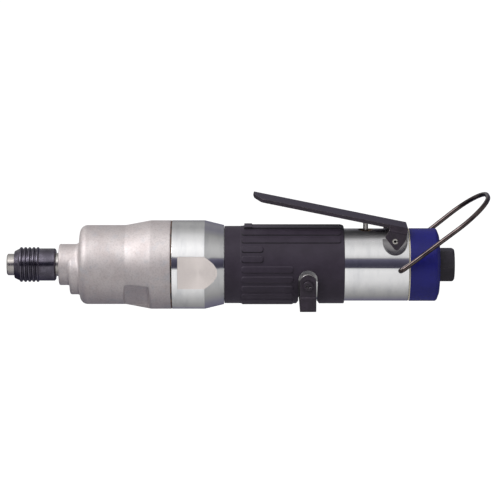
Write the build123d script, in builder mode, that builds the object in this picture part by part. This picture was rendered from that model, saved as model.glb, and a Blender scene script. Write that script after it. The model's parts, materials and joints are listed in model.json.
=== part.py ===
from build123d import *
import os
from math import cos, radians, sin, tan

# Inline air pulse tool, in millimetres.
# The origin is the mouth of the bit socket, on the tool's axis.
# +X runs back along the axis to the air inlet, and +Z is the side of the throttle lever.

os.makedirs("parts", exist_ok=True)

# Clearances
running = 0.05  # a shaft that turns or slides in its hole, on the radius
slip = 0.05  # a piece pushed into its seat, on the radius
free = 0.3  # pieces that pass each other without touching

# Spindle nose and quick-change chuck
bit_across_flats = 6.35
socket_depth = 24.0
nose_radius = 5.6
nose_length = 25.5
nose_chamfer = 0.6
journal_step = 0.4
ball_radius = 1.75
ball_x = 14.6
ball_depth = 1.4
ball_clearance = 0.08
ball_lip_radius = 1.55
sleeve_x = 3.9
sleeve_gap = 1.7
sleeve_wall = 2.8
sleeve_front_wall = 1.4
rib_height = 0.75
rib_groove = 0.1
rib_count = 5
rib_pitch = 2.15
rib_start = 3.5
rib_half_foot = 0.85
rib_half_crest = 0.4
sleeve_cavity = 1.0
cone_slope = 0.25
cone_length = 4.6
rear_flange = 4.4
snap_ring_inset = 0.6
snap_ring_width = 0.8
snap_ring_height = 0.75
snap_groove_depth = 0.35
washer_width = 0.6
chuck_spring_length = 5.3
chuck_spring_wire = 0.6
chuck_spring_turns = 3

# Front housing
boss_gap = 1.6
boss_radius = 10.7
boss_length = 10.9
boss_round = 0.8
boss_fillet = 1.2
collar_offset = 3.2
eccentric_radius = 12.4
eccentric_length = 5.2
eccentric_round = 1.0
face_fillet = 2.5
shoulder_round = 4.0
front_radius = 20.55
barrel_radius = 23.0
barrel_length = 10.4
flare_length = 13.0
flare_round = 4.0
housing_length = 58.1
front_wall = 3.5
case_clearance = 0.5
barrel_wall = 3.0
spigot_length = 8.7
bush_wall = 2.0
seal_width = 2.0
seal_lip = 1.5
bush_flange_width = 3.0
bush_flange = 1.2
pad_distance = 18.0
pad_width = 21.2
pad_length = 11.7
pad_setback = 23.6
pad_angle = 48.5
pad_taper = 20.0
pad_rim = 6.0
seam_width = 0.5
seam_inset = 0.1

# Pulse unit
case_radius = 15.3
case_gap = 0.3
case_front_wall = 4.5
case_wall = 2.1
end_plate = 3.0
pulse_gap = 0.8
lobe_radius = 11.6
land_radius = 10.3
anvil_radius = 7.5
rear_journal_radius = 4.0
blade_width = 3.0
blade_tip = 9.9
blade_round = 1.3
blade_root = 4.6
cap_plug = 4.5
cap_flange = 1.2
drive_across_flats = 6.0
relief_offset = 8.5
relief_radius = 1.5
relief_length = 4.0
blade_spring_radius = 1.0
blade_spring_wire = 0.35
blade_spring_turns = 4
blade_spring_spacing = 8.0

# Motor
motor_bore_radius = 16.0
lock_ring_width = 2.0
lock_ring_bore = 9.5
front_plate = 10.0
rear_plate = 9.0
cylinder_length = 44.0
cylinder_bore = 13.3
cylinder_offset = 1.2
rotor_gap = 0.1
rotor_end_gap = 0.1
front_bearing_radius = 11.0
front_bearing_width = 7.0
front_shaft_radius = 4.0
rear_bearing_radius = 9.5
rear_bearing_width = 6.0
rear_shaft_radius = 3.0
vane_count = 5
vane_thickness = 1.5
vane_height = 6.4
slot_depth = 7.0
port_radius = 1.3
port_y = 9.5
port_z = -9.0

# Motor housing
collar_length = 17.1
taper_length = 9.9
taper_end_step = 1.8
body_radius = 18.8
flat_distance = 21.4
flat_height = 16.7
flat_setback = 3.3
flat_length = 21.2
exhaust_y = 9.0
exhaust_z = -12.7
exhaust_radius = 1.3
exhaust_pitch = 10.4
edge_break = 0.3

# Reverse valve and its yoke
reverse_from_grip = 43.1
reverse_z = -6.2
spool_bore_radius = 4.0
spool_neck_radius = 2.6
spool_land = 5.0
spool_land_pitch = 10.0
spool_stem_radius = 3.2
feed_radius = 2.0
slot_width = 9.8
slot_floor = -14.8
arm_width = 8.4
arm_thickness = 2.0
arm_top_rise = 1.8
yoke_travel = 3.3
bridge_gap = 0.7
bridge_height = 4.6
foot_z = -12.0
foot_step = 0.5
yoke_corner = 2.0
screw_head_radius = 2.75
screw_head_height = 1.5
screw_radius = 1.5
screw_length = 7.0
screw_recess = 0.9
seal_section = 0.9

# Grip
grip_setback = 27.2
grip_length = 62.0
grip_ring_length = 8.5
grip_ring_wall = 1.4
grip_wall = 1.7
grip_tail = 2.1
grip_tail_wall = 0.8
grip_groove_count = 24
grip_groove_width = 1.1
grip_groove_depth = 0.5
groove_margin = 0.8
short_groove = 10.6
short_groove_climb = 40.0
middle_groove = 26.0
pad_x = 10.4
pad_run = 3.9
pad_height = 0.4
pad_half_width = 5.0
spine_half_width = 4.6
notch_top_rise = 0.5
notch_half_foot = 6.3
notch_flare = 3.5

# Throttle lever and valve
lever_pin_setback = 7.35
lever_pin_depth = 4.25
lever_pin_radius = 1.4
lever_pin_hollow = 0.7
lever_pin_slot = 0.5
lever_slope = 11.6
lever_top = 7.27
lever_sheet = 1.6
lever_width = 16.0
lever_tip_gap = 0.8
lever_rear = 5.4
lever_tip_near_round = 4.0
lever_tip_far_round = 1.2
ear_reach = 12.4
shoulder_drop = 2.3
spot_radius = 6.4
spot_gap = 0.4
stem_setback = 14.75
stem_radius = 1.3
stem_crown = 1.2
stem_gap = 0.1
stem_from_grip = 11.2
ear_front = 2.4
ear_toe = 1.9
ear_toe_drop = 5.2
ear_heel = 4.6
ear_heel_drop = 0.1
ear_back = 2.5
ear_round = 1.5
throttle_bore_radius = 4.0
throttle_bore_floor = -12.0
bush_top_depth = 1.2
bush_bottom_z = 3.0
bush_chamber_radius = 2.9
bush_chamber_top = 12.5
window_z = 9.0
window_radius = 2.0
valve_head_radius = 3.4
valve_seal = 0.8
valve_plate = 1.4
spring_pilot = 1.3
throttle_spring_radius = 2.1
throttle_spring_wire = 0.7
throttle_spring_turns = 6

# Rear end
gasket_width = 0.5
gasket_inset = 0.2
cap_overhang = 0.1
cap_length = 15.4
cap_wall = 2.4
cap_back = 2.4
cap_boss = 10.0
cap_corner = 1.5
cap_dome = 1.3
cap_flat = 3.4
outlet_count = 12
outlet_radius = 1.3
outlet_circle = 13.3
inlet_bore_radius = 8.0
inlet_bore_depth = 13.1
feed_bore_radius = 3.6
shank_end_gap = 1.0
inlet_across_flats = 15.9
inlet_length = 8.1
inlet_chamfer = 0.8
thread_radius = 5.9
thread_depth = 13.5
thread_chamfer = 0.6
air_radius = 4.4
strainer_flange = 0.5
strainer_seat = 0.6
strainer_wall = 0.4
strainer_length = 12.0
strainer_holes = 8
strainer_hole_radius = 0.7
strainer_circle = 2.6

# Hanging bail
bail_setback = 4.6
bail_z = 0.56
bail_wire = 1.2
bail_root = 14.0
bail_gap = 0.5
bail_splay = 3.85
bail_length = 57.7
bail_angle = 38.1
bail_bend = 2.2
bail_bow = 20.7

# Radii that follow the nose, the barrel and the body
journal_radius = nose_radius + journal_step
sleeve_bore = nose_radius + 3 * running
sleeve_radius = nose_radius + sleeve_wall
groove_radius = sleeve_radius - rib_groove
crest_radius = groove_radius + rib_height
cavity_radius = nose_radius + sleeve_cavity
ball_centre_z = nose_radius - ball_depth
bush_bore_radius = journal_radius + bush_wall
case_bore_radius = case_radius + case_clearance
spigot_radius = barrel_radius - barrel_wall
rotor_radius = cylinder_bore - cylinder_offset - rotor_gap
grip_ring_radius = body_radius + grip_ring_wall
grip_radius = body_radius + grip_wall
cap_radius = body_radius + cap_overhang
arm_reach = body_radius + free
ear_inside = ear_reach - lever_sheet
bail_half_width = cap_radius + bail_wire + bail_gap

# Stations along the axis
housing_x = nose_length + boss_gap
sleeve_end_x = housing_x - sleeve_gap
face_x = housing_x + boss_length
case_bore_x = face_x + front_wall
seam_x = housing_x + housing_length
collar_x = seam_x + seam_width
spigot_x = collar_x - spigot_length
case_x = case_bore_x + bush_flange + case_gap
front_plate_x = case_x + case_front_wall
liner_x = front_plate_x + end_plate
case_cap_end_x = spigot_x - pulse_gap
case_end_x = case_cap_end_x - cap_flange
case_cap_x = case_end_x - cap_plug
back_plate_x = case_cap_x - end_plate
motor_plate_x = spigot_x + lock_ring_width
cylinder_x = motor_plate_x + front_plate
rear_plate_x = cylinder_x + cylinder_length
motor_end_x = rear_plate_x + rear_plate
grip_x = collar_x + grip_setback
grip_end_x = grip_x + grip_length
reverse_x = grip_x + reverse_from_grip
stem_x = grip_end_x + stem_from_grip
lever_pin_x = stem_x + stem_setback
body_end_x = lever_pin_x + lever_pin_setback
bail_x = body_end_x - bail_setback
cap_x = body_end_x + gasket_width
cap_end_x = cap_x + cap_length
inlet_end_x = cap_end_x + inlet_length

# Heights across the axis
lever_pin_z = body_radius - lever_pin_depth
bush_top_z = body_radius - bush_top_depth
arm_top_z = reverse_z + arm_top_rise
notch_top_z = arm_top_z + notch_top_rise
bridge_top_z = slot_floor - bridge_gap
bridge_bottom_z = bridge_top_z - bridge_height

# Lever at rest: its underside over the pin, and the stem's top just under it
slope = radians(lever_slope)
lever_underside = lever_top - lever_sheet
stem_top = lever_pin_z + lever_underside / cos(slope) + stem_setback * tan(slope) - stem_gap

# Working planes
axis_plane = Plane.XY
spool_plane = Plane(origin=(reverse_x, 0, reverse_z), x_dir=(0, 1, 0), z_dir=(0, 0, 1))
stem_plane = Plane(origin=(stem_x, 0, 0), x_dir=(0, 0, 1), z_dir=(0, 1, 0))


def outline(points):
    """A closed profile in the sketch that is open; a third number on a point rounds that corner."""
    with BuildLine() as path:
        Polyline(*[point[:2] for point in points], close=True)
    face = make_face(path.edges())
    for x, y, *rounding in points:
        if rounding:
            corner = face.vertices().sort_by_distance((x, y))[0]
            face = fillet(corner, rounding[0])


def turn(points, plane=axis_plane, mode=Mode.ADD):
    """A turned form: (distance, radius) points, spun about the plane's own x axis."""
    with BuildSketch(plane) as half:
        outline(points)
    revolve(half.sketch, axis=Axis(plane.origin, plane.x_dir), mode=mode)


def ring(start, end, inner, outer, plane=axis_plane, mode=Mode.ADD):
    """A plain ring between two stations of an axis."""
    turn([(start, inner), (start, outer), (end, outer), (end, inner)], plane, mode)


def radial_plane(x, radius, angle):
    """A plane that faces outwards, at an angle above the horizontal on the -Y side."""
    outward = Vector(0, -cos(radians(angle)), sin(radians(angle)))
    return Plane(origin=Vector(x, 0, 0) + outward * radius, x_dir=(1, 0, 0), z_dir=outward)


def coil(plane, start, end, radius, wire, turns):
    """A spring of square wire along the plane's normal, between two distances from it."""
    rise = end - start - wire
    bottom = plane.offset(start + wire / 2)
    path = Helix(pitch=rise / turns, height=rise, radius=radius,
                 center=bottom.origin, direction=bottom.z_dir)
    with BuildSketch(Plane(origin=path @ 0, z_dir=path % 0, x_dir=bottom.z_dir)) as section:
        Rectangle(wire, wire)
    sweep(section.sketch, path=path, is_frenet=True)


# Spindle: bit socket, journal, slotted anvil and rear journal in one piece
anvil_x = liner_x + running
anvil_end_x = back_plate_x - running
snap_groove_x = sleeve_x + snap_ring_inset
with BuildPart() as spindle:
    turn([
        (0, 0),
        (0, nose_radius - nose_chamfer),
        (nose_chamfer, nose_radius),
        (nose_length, nose_radius),
        (nose_length, journal_radius),
        (anvil_x, journal_radius),
        (anvil_x, anvil_radius),
        (anvil_end_x, anvil_radius),
        (anvil_end_x, rear_journal_radius),
        (case_cap_x - running, rear_journal_radius),
        (case_cap_x - running, 0),
    ])
    ring(snap_groove_x, snap_groove_x + snap_ring_width, nose_radius - snap_groove_depth,
         nose_radius + 1, mode=Mode.SUBTRACT)
    with BuildSketch(Plane.YZ):
        RegularPolygon(bit_across_flats / 2 + running / 2, 6, major_radius=False)
    extrude(amount=socket_depth, mode=Mode.SUBTRACT)
    with Locations(Plane(origin=(ball_x, 0, 0))):
        Cylinder(ball_lip_radius, nose_radius + 1, mode=Mode.SUBTRACT,
                 align=(Align.CENTER, Align.CENTER, Align.MIN))
    with Locations(Plane(origin=(ball_x, 0, ball_centre_z - ball_radius / 2 + running))):
        Cylinder(ball_radius + running, nose_radius, mode=Mode.SUBTRACT,
                 align=(Align.CENTER, Align.CENTER, Align.MIN))
    with Locations(((anvil_x + anvil_end_x) / 2, 0, 0)):
        Box(anvil_end_x - anvil_x, 2 * anvil_radius + 1, blade_width, mode=Mode.SUBTRACT)
spindle.part.label = "spindle"
export_step(spindle.part, "parts/spindle.step")

# Lock ball of the chuck
with BuildPart() as lock_ball:
    with Locations((ball_x, 0, ball_centre_z)):
        Sphere(ball_radius)
lock_ball.part.label = "lock_ball"
export_step(lock_ball.part, "parts/lock_ball.step")

# Snap ring that holds the chuck together, an open ring in the spindle's groove
snap_ring_end = snap_groove_x + snap_ring_width
with BuildPart() as snap_ring:
    ring(snap_groove_x, snap_ring_end, nose_radius - snap_groove_depth, nose_radius + snap_ring_height)
    with Locations((snap_groove_x, 0, -nose_radius)):
        Box(3 * snap_ring_width, 2 * snap_ring_width, 2 * nose_radius, mode=Mode.SUBTRACT)
snap_ring.part.label = "snap_ring"
export_step(snap_ring.part, "parts/snap_ring.step")

# Washer that the chuck's spring bears on
spring_x = snap_ring_end + washer_width
with BuildPart() as spring_washer:
    ring(snap_ring_end, spring_x, nose_radius + running, cavity_radius - 2 * running)
spring_washer.part.label = "spring_washer"
export_step(spring_washer.part, "parts/spring_washer.step")

# Spring of the chuck's sleeve
spring_seat_x = spring_x + chuck_spring_length
with BuildPart() as chuck_spring:
    coil(Plane.YZ, spring_x, spring_seat_x, (nose_radius + cavity_radius) / 2,
         chuck_spring_wire, chuck_spring_turns)
chuck_spring.part.label = "chuck_spring"
export_step(chuck_spring.part, "parts/chuck_spring.step")

# Sleeve: ring ribs outside, the ball's land, cone and recess inside
cone_x = ball_x - (ball_centre_z + ball_radius + ball_clearance - sleeve_bore) / cone_slope
cone_end_x = cone_x + cone_length
recess_radius = sleeve_bore + cone_slope * cone_length
sleeve_outside = [
    (sleeve_x, cavity_radius),
    (sleeve_x, nose_radius + sleeve_front_wall),
]
for rib in range(rib_count):
    crest = sleeve_x + rib_start + rib * rib_pitch
    sleeve_outside += [
        (crest - rib_half_foot, groove_radius),
        (crest - rib_half_crest, crest_radius),
        (crest + rib_half_crest, crest_radius),
        (crest + rib_half_foot, groove_radius),
    ]
sleeve_outside += [
    (crest + 2 * rib_half_foot - rib_half_crest, sleeve_radius),
    (sleeve_end_x - nose_chamfer, sleeve_radius),
    (sleeve_end_x, sleeve_radius - nose_chamfer),
]
with BuildPart() as chuck_sleeve:
    turn(sleeve_outside + [
        (sleeve_end_x, sleeve_bore),
        (sleeve_end_x - rear_flange, sleeve_bore),
        (sleeve_end_x - rear_flange, recess_radius),
        (cone_end_x, recess_radius),
        (cone_x, sleeve_bore),
        (spring_seat_x, sleeve_bore),
        (spring_seat_x, cavity_radius),
    ])
chuck_sleeve.part.label = "chuck_sleeve"
export_step(chuck_sleeve.part, "parts/chuck_sleeve.step")

# Front housing: nose boss, off-centre collar, shoulder, flared barrel and two wrench pads
seal_x = housing_x + seal_lip
flare_x = seam_x - barrel_length - flare_length
with BuildPart() as front_housing:
    turn([
        (housing_x, 0),
        (housing_x, boss_radius, boss_round),
        (face_x, boss_radius, face_fillet),
        (face_x, front_radius, shoulder_round),
        (flare_x, front_radius, flare_round),
        (seam_x - barrel_length, barrel_radius, flare_round),
        (seam_x, barrel_radius),
        (seam_x, 0),
    ])
    turn([
        (face_x - eccentric_length, 0),
        (face_x - eccentric_length, eccentric_radius, eccentric_round),
        (face_x, eccentric_radius),
        (face_x, 0),
    ], Plane.XY.offset(-collar_offset))
    foot_x = face_x - eccentric_length
    boss_foot = front_housing.edges().filter_by(GeomType.CIRCLE).filter_by(
        lambda edge: abs(edge.radius - boss_radius) < slip and abs(edge.center().X - foot_x) < slip)
    fillet(boss_foot, boss_fillet)
    for angle in (-pad_angle, 180 - pad_angle):
        pad = radial_plane(seam_x - pad_setback + pad_length / 2, pad_distance, angle)
        with BuildSketch(pad):
            Rectangle(pad_length, pad_width)
        extrude(amount=pad_rim, taper=-pad_taper, mode=Mode.SUBTRACT)
    ring(housing_x - 1, seal_x, 0, journal_radius + free, mode=Mode.SUBTRACT)
    ring(seal_x, case_bore_x, 0, bush_bore_radius, mode=Mode.SUBTRACT)
    ring(case_bore_x, spigot_x, 0, case_bore_radius, mode=Mode.SUBTRACT)
    ring(spigot_x - slip, seam_x + 1, 0, spigot_radius + slip, mode=Mode.SUBTRACT)
front_housing.part.label = "front_housing"
export_step(front_housing.part, "parts/front_housing.step")

# Shaft seal and bearing bush in the nose boss
with BuildPart() as nose_seal:
    ring(seal_x, seal_x + seal_width, journal_radius + running / 2, bush_bore_radius - slip)
nose_seal.part.label = "nose_seal"
export_step(nose_seal.part, "parts/nose_seal.step")

with BuildPart() as nose_bush:
    ring(seal_x + seal_width, case_bore_x + bush_flange, journal_radius + running,
         bush_bore_radius - slip)
    ring(case_bore_x, case_bore_x + bush_flange, journal_radius + running,
         bush_bore_radius + bush_flange_width)
nose_bush.part.label = "nose_bush"
export_step(nose_bush.part, "parts/nose_bush.step")

# Seal at the seam between the two housings
with BuildPart() as seam_ring:
    ring(seam_x, collar_x, spigot_radius + slip, barrel_radius - seam_inset)
seam_ring.part.label = "seam_ring"
export_step(seam_ring.part, "parts/seam_ring.step")

# Pulse unit: case, plates, oval liner and cap turn with the motor
case_bore = case_radius - case_wall
insert_radius = case_bore - slip
with BuildPart() as pulse_case:
    turn([
        (case_x, journal_radius + running),
        (case_x, case_radius - edge_break),
        (case_x + edge_break, case_radius),
        (case_end_x, case_radius),
        (case_end_x, case_bore),
        (front_plate_x, case_bore),
        (front_plate_x, journal_radius + running),
    ])
pulse_case.part.label = "pulse_case"
export_step(pulse_case.part, "parts/pulse_case.step")

with BuildPart() as pulse_front_plate:
    ring(front_plate_x, liner_x, journal_radius + running, insert_radius)
pulse_front_plate.part.label = "pulse_front_plate"
export_step(pulse_front_plate.part, "parts/pulse_front_plate.step")

with BuildPart() as pulse_liner:
    ring(liner_x, back_plate_x, 0, insert_radius)
    with BuildSketch(Plane.YZ.offset(liner_x)):
        Ellipse(lobe_radius, land_radius)
    extrude(amount=back_plate_x - liner_x, mode=Mode.SUBTRACT)
pulse_liner.part.label = "pulse_liner"
export_step(pulse_liner.part, "parts/pulse_liner.step")

with BuildPart() as pulse_back_plate:
    ring(back_plate_x, case_cap_x, rear_journal_radius + running, insert_radius)
pulse_back_plate.part.label = "pulse_back_plate"
export_step(pulse_back_plate.part, "parts/pulse_back_plate.step")

with BuildPart() as pulse_case_cap:
    turn([
        (case_cap_x, 0),
        (case_cap_x, insert_radius),
        (case_end_x, insert_radius),
        (case_end_x, case_radius),
        (case_cap_end_x, case_radius),
        (case_cap_end_x, 0),
    ])
    with BuildSketch(Plane.YZ.offset(case_cap_x)):
        RegularPolygon(drive_across_flats / 2 + running, 6, major_radius=False)
    extrude(amount=case_cap_end_x - case_cap_x, mode=Mode.SUBTRACT)
    with Locations(Plane(origin=(case_cap_end_x - relief_length, 0, relief_offset), z_dir=(1, 0, 0))):
        Cylinder(relief_radius, relief_length + 1, mode=Mode.SUBTRACT,
                 align=(Align.CENTER, Align.CENTER, Align.MIN))
pulse_case_cap.part.label = "pulse_case_cap"
export_step(pulse_case_cap.part, "parts/pulse_case_cap.step")

# Screw that sets the torque by letting oil past
with BuildPart() as relief_screw:
    with Locations(Plane(origin=(case_cap_end_x - relief_length, 0, relief_offset), z_dir=(1, 0, 0))):
        Cylinder(relief_radius - slip, relief_length - edge_break,
                 align=(Align.CENTER, Align.CENTER, Align.MIN))
    with Locations((case_cap_end_x, 0, relief_offset)):
        Box(2 * relief_radius, 2 * relief_radius, relief_radius / 3, mode=Mode.SUBTRACT)
relief_screw.part.label = "relief_screw"
export_step(relief_screw.part, "parts/relief_screw.step")

# Two driving blades in the anvil's slot, pushed apart by two small springs
blade_half = blade_width / 2 - slip
with BuildPart() as pulse_blades:
    for side in (-1, 1):
        with BuildSketch(Plane.YZ.offset(anvil_x)):
            outline([
                (side * blade_root, -blade_half),
                (side * blade_root, blade_half),
                (side * blade_tip, blade_half, blade_round),
                (side * blade_tip, -blade_half, blade_round),
            ])
        extrude(amount=anvil_end_x - anvil_x)
pulse_blades.part.label = "pulse_blades"
export_step(pulse_blades.part, "parts/pulse_blades.step")

with BuildPart() as blade_springs:
    for side in (-1, 1):
        spring_plane = Plane(
            origin=((anvil_x + anvil_end_x + side * blade_spring_spacing) / 2, 0, 0), z_dir=(0, 1, 0))
        coil(spring_plane, -blade_root, blade_root, blade_spring_radius, blade_spring_wire,
             blade_spring_turns)
blade_springs.part.label = "blade_springs"
export_step(blade_springs.part, "parts/blade_springs.step")

# Rotor with its hexagon end in the pulse unit's cap, and its vanes drawn in
vane_length = cylinder_length - 2 * rotor_end_gap
rotor_x = cylinder_x + rotor_end_gap
with BuildPart() as rotor:
    turn([
        (spigot_x, 0),
        (spigot_x, front_shaft_radius),
        (rotor_x, front_shaft_radius),
        (rotor_x, rotor_radius),
        (rotor_x + vane_length, rotor_radius),
        (rotor_x + vane_length, rear_shaft_radius),
        (motor_end_x - free, rear_shaft_radius),
        (motor_end_x - free, 0),
    ])
    with BuildSketch(Plane.YZ.offset(case_cap_x + free)):
        RegularPolygon(drive_across_flats / 2, 6, major_radius=False)
    extrude(amount=spigot_x - case_cap_x - free)
    with BuildSketch(Plane.YZ.offset(rotor_x)):
        with PolarLocations(rotor_radius - slot_depth / 2, vane_count, 90):
            Rectangle(slot_depth, vane_thickness + 2 * slip)
    extrude(amount=vane_length, mode=Mode.SUBTRACT)
rotor.part.label = "rotor"
export_step(rotor.part, "parts/rotor.step")

with BuildPart() as rotor_vanes:
    with BuildSketch(Plane.YZ.offset(rotor_x)):
        with PolarLocations(rotor_radius - slot_depth + vane_height / 2 + slip, vane_count, 90):
            Rectangle(vane_height, vane_thickness)
    extrude(amount=vane_length)
rotor_vanes.part.label = "rotor_vanes"
export_step(rotor_vanes.part, "parts/rotor_vanes.step")

# Motor stack in its bore: lock ring, front plate and bearing, cylinder, rear plate and bearing
stack_radius = motor_bore_radius - slip
with BuildPart() as motor_lock_ring:
    ring(spigot_x, motor_plate_x, lock_ring_bore, stack_radius)
    for side in (-1, 1):
        with Locations(Plane(origin=(spigot_x, side * (lock_ring_bore + stack_radius) / 2, 0),
                             z_dir=(1, 0, 0))):
            Cylinder(lock_ring_width / 2, lock_ring_width, mode=Mode.SUBTRACT,
                     align=(Align.CENTER, Align.CENTER, Align.MIN))
motor_lock_ring.part.label = "motor_lock_ring"
export_step(motor_lock_ring.part, "parts/motor_lock_ring.step")

front_pocket_x = motor_plate_x + front_bearing_width
with BuildPart() as motor_front_plate:
    turn([
        (motor_plate_x, front_bearing_radius),
        (motor_plate_x, stack_radius),
        (cylinder_x, stack_radius),
        (cylinder_x, front_shaft_radius + free),
        (front_pocket_x, front_shaft_radius + free),
        (front_pocket_x, front_bearing_radius),
    ])
motor_front_plate.part.label = "motor_front_plate"
export_step(motor_front_plate.part, "parts/motor_front_plate.step")

with BuildPart() as motor_front_bearing:
    ring(motor_plate_x, front_pocket_x, front_shaft_radius + running / 2,
         front_bearing_radius - slip)
motor_front_bearing.part.label = "motor_front_bearing"
export_step(motor_front_bearing.part, "parts/motor_front_bearing.step")

with BuildPart() as motor_cylinder:
    ring(cylinder_x, rear_plate_x, 0, stack_radius)
    ring(cylinder_x, rear_plate_x, 0, cylinder_bore, Plane.XY.offset(-cylinder_offset),
         Mode.SUBTRACT)
    for side in (-1, 1):
        for step in (-1, 0, 1):
            exhaust_x = (cylinder_x + rear_plate_x) / 2 + step * exhaust_pitch
            with Locations(Plane(origin=(exhaust_x, 0, 0), z_dir=(0, side * exhaust_y, exhaust_z))):
                Cylinder(exhaust_radius, motor_bore_radius + 1, mode=Mode.SUBTRACT,
                         align=(Align.CENTER, Align.CENTER, Align.MIN))
motor_cylinder.part.label = "motor_cylinder"
export_step(motor_cylinder.part, "parts/motor_cylinder.step")

rear_pocket_x = motor_end_x - rear_bearing_width
with BuildPart() as motor_rear_plate:
    turn([
        (rear_plate_x, rear_shaft_radius + free),
        (rear_plate_x, stack_radius),
        (motor_end_x, stack_radius),
        (motor_end_x, rear_bearing_radius),
        (rear_pocket_x, rear_bearing_radius),
        (rear_pocket_x, rear_shaft_radius + free),
    ])
    with BuildSketch(Plane.YZ.offset(rear_plate_x)):
        with Locations((-port_y, port_z), (port_y, port_z)):
            Circle(port_radius)
    extrude(amount=rear_plate, mode=Mode.SUBTRACT)
motor_rear_plate.part.label = "motor_rear_plate"
export_step(motor_rear_plate.part, "parts/motor_rear_plate.step")

with BuildPart() as motor_rear_bearing:
    ring(rear_pocket_x, motor_end_x, rear_shaft_radius + running / 2, rear_bearing_radius - slip)
motor_rear_bearing.part.label = "motor_rear_bearing"
export_step(motor_rear_bearing.part, "parts/motor_rear_bearing.step")

# Motor housing: spigot, spanner collar, plain body and all its air passages
taper_x = collar_x + collar_length
step_x = taper_x + taper_length
with BuildPart() as motor_housing:
    turn([
        (spigot_x, 0),
        (spigot_x, spigot_radius),
        (collar_x, spigot_radius),
        (collar_x, barrel_radius - edge_break),
        (collar_x + edge_break, barrel_radius),
        (taper_x, barrel_radius),
        (step_x, body_radius + taper_end_step),
        (step_x, body_radius),
        (body_end_x - edge_break, body_radius),
        (body_end_x, body_radius - edge_break),
        (body_end_x, 0),
    ])
    for angle in (0, 180):
        with BuildSketch(radial_plane(collar_x + flat_setback + flat_length / 2, flat_distance, angle)):
            Rectangle(flat_length, flat_height + 2 * barrel_radius - 2 * flat_distance)
        extrude(amount=barrel_radius, mode=Mode.SUBTRACT)
    ring(spigot_x, motor_end_x, 0, motor_bore_radius, mode=Mode.SUBTRACT)
    ring(body_end_x - inlet_bore_depth, body_end_x, 0, inlet_bore_radius, mode=Mode.SUBTRACT)
    ring(stem_x, body_end_x, 0, feed_bore_radius, mode=Mode.SUBTRACT)
    with BuildSketch(Plane.YZ.offset(body_end_x)):
        with Locations((-exhaust_y, exhaust_z), (exhaust_y, exhaust_z)):
            Circle(exhaust_radius)
    extrude(amount=cylinder_x + front_plate - body_end_x, mode=Mode.SUBTRACT)
    with BuildSketch(Plane.YZ.offset(motor_end_x)):
        with Locations((-port_y, port_z), (port_y, port_z)):
            Circle(port_radius)
    extrude(amount=reverse_x - motor_end_x, mode=Mode.SUBTRACT)
    with BuildSketch(Plane.YZ.offset(motor_end_x)):
        with Locations((0, window_z)):
            Circle(window_radius)
    extrude(amount=stem_x - motor_end_x, mode=Mode.SUBTRACT)
    with Locations(Plane(origin=(reverse_x, 0, reverse_z))):
        Cylinder(feed_radius, body_radius - reverse_z, mode=Mode.SUBTRACT,
                 align=(Align.CENTER, Align.CENTER, Align.MIN))
    with Locations(Plane(origin=(reverse_x, 0, reverse_z), z_dir=(0, 1, 0))):
        Cylinder(spool_bore_radius, 2 * barrel_radius, mode=Mode.SUBTRACT)
    with Locations((reverse_x, 0, slot_floor)):
        Box(slot_width, 2 * barrel_radius, barrel_radius, mode=Mode.SUBTRACT,
            align=(Align.CENTER, Align.CENTER, Align.MAX))
    with Locations((stem_x, 0, throttle_bore_floor)):
        Cylinder(throttle_bore_radius, 2 * body_radius, mode=Mode.SUBTRACT,
                 align=(Align.CENTER, Align.CENTER, Align.MIN))
    for side in (-1, 1):
        spot_y = side * (ear_inside - spot_gap)
        with Locations(Plane(origin=(lever_pin_x, spot_y, lever_pin_z), z_dir=(0, side, 0))):
            Cylinder(spot_radius, body_radius, mode=Mode.SUBTRACT,
                     align=(Align.CENTER, Align.CENTER, Align.MIN))
        with Locations(Plane(origin=(bail_x, side * (bail_root - free), bail_z), z_dir=(0, side, 0))):
            Cylinder(bail_wire + 2 * running, body_radius, mode=Mode.SUBTRACT,
                     align=(Align.CENTER, Align.CENTER, Align.MIN))
    with Locations(Plane(origin=(lever_pin_x, 0, lever_pin_z), z_dir=(0, 1, 0))):
        Cylinder(lever_pin_radius, 2 * body_radius, mode=Mode.SUBTRACT)
motor_housing.part.label = "motor_housing"
export_step(motor_housing.part, "parts/motor_housing.step")

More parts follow.
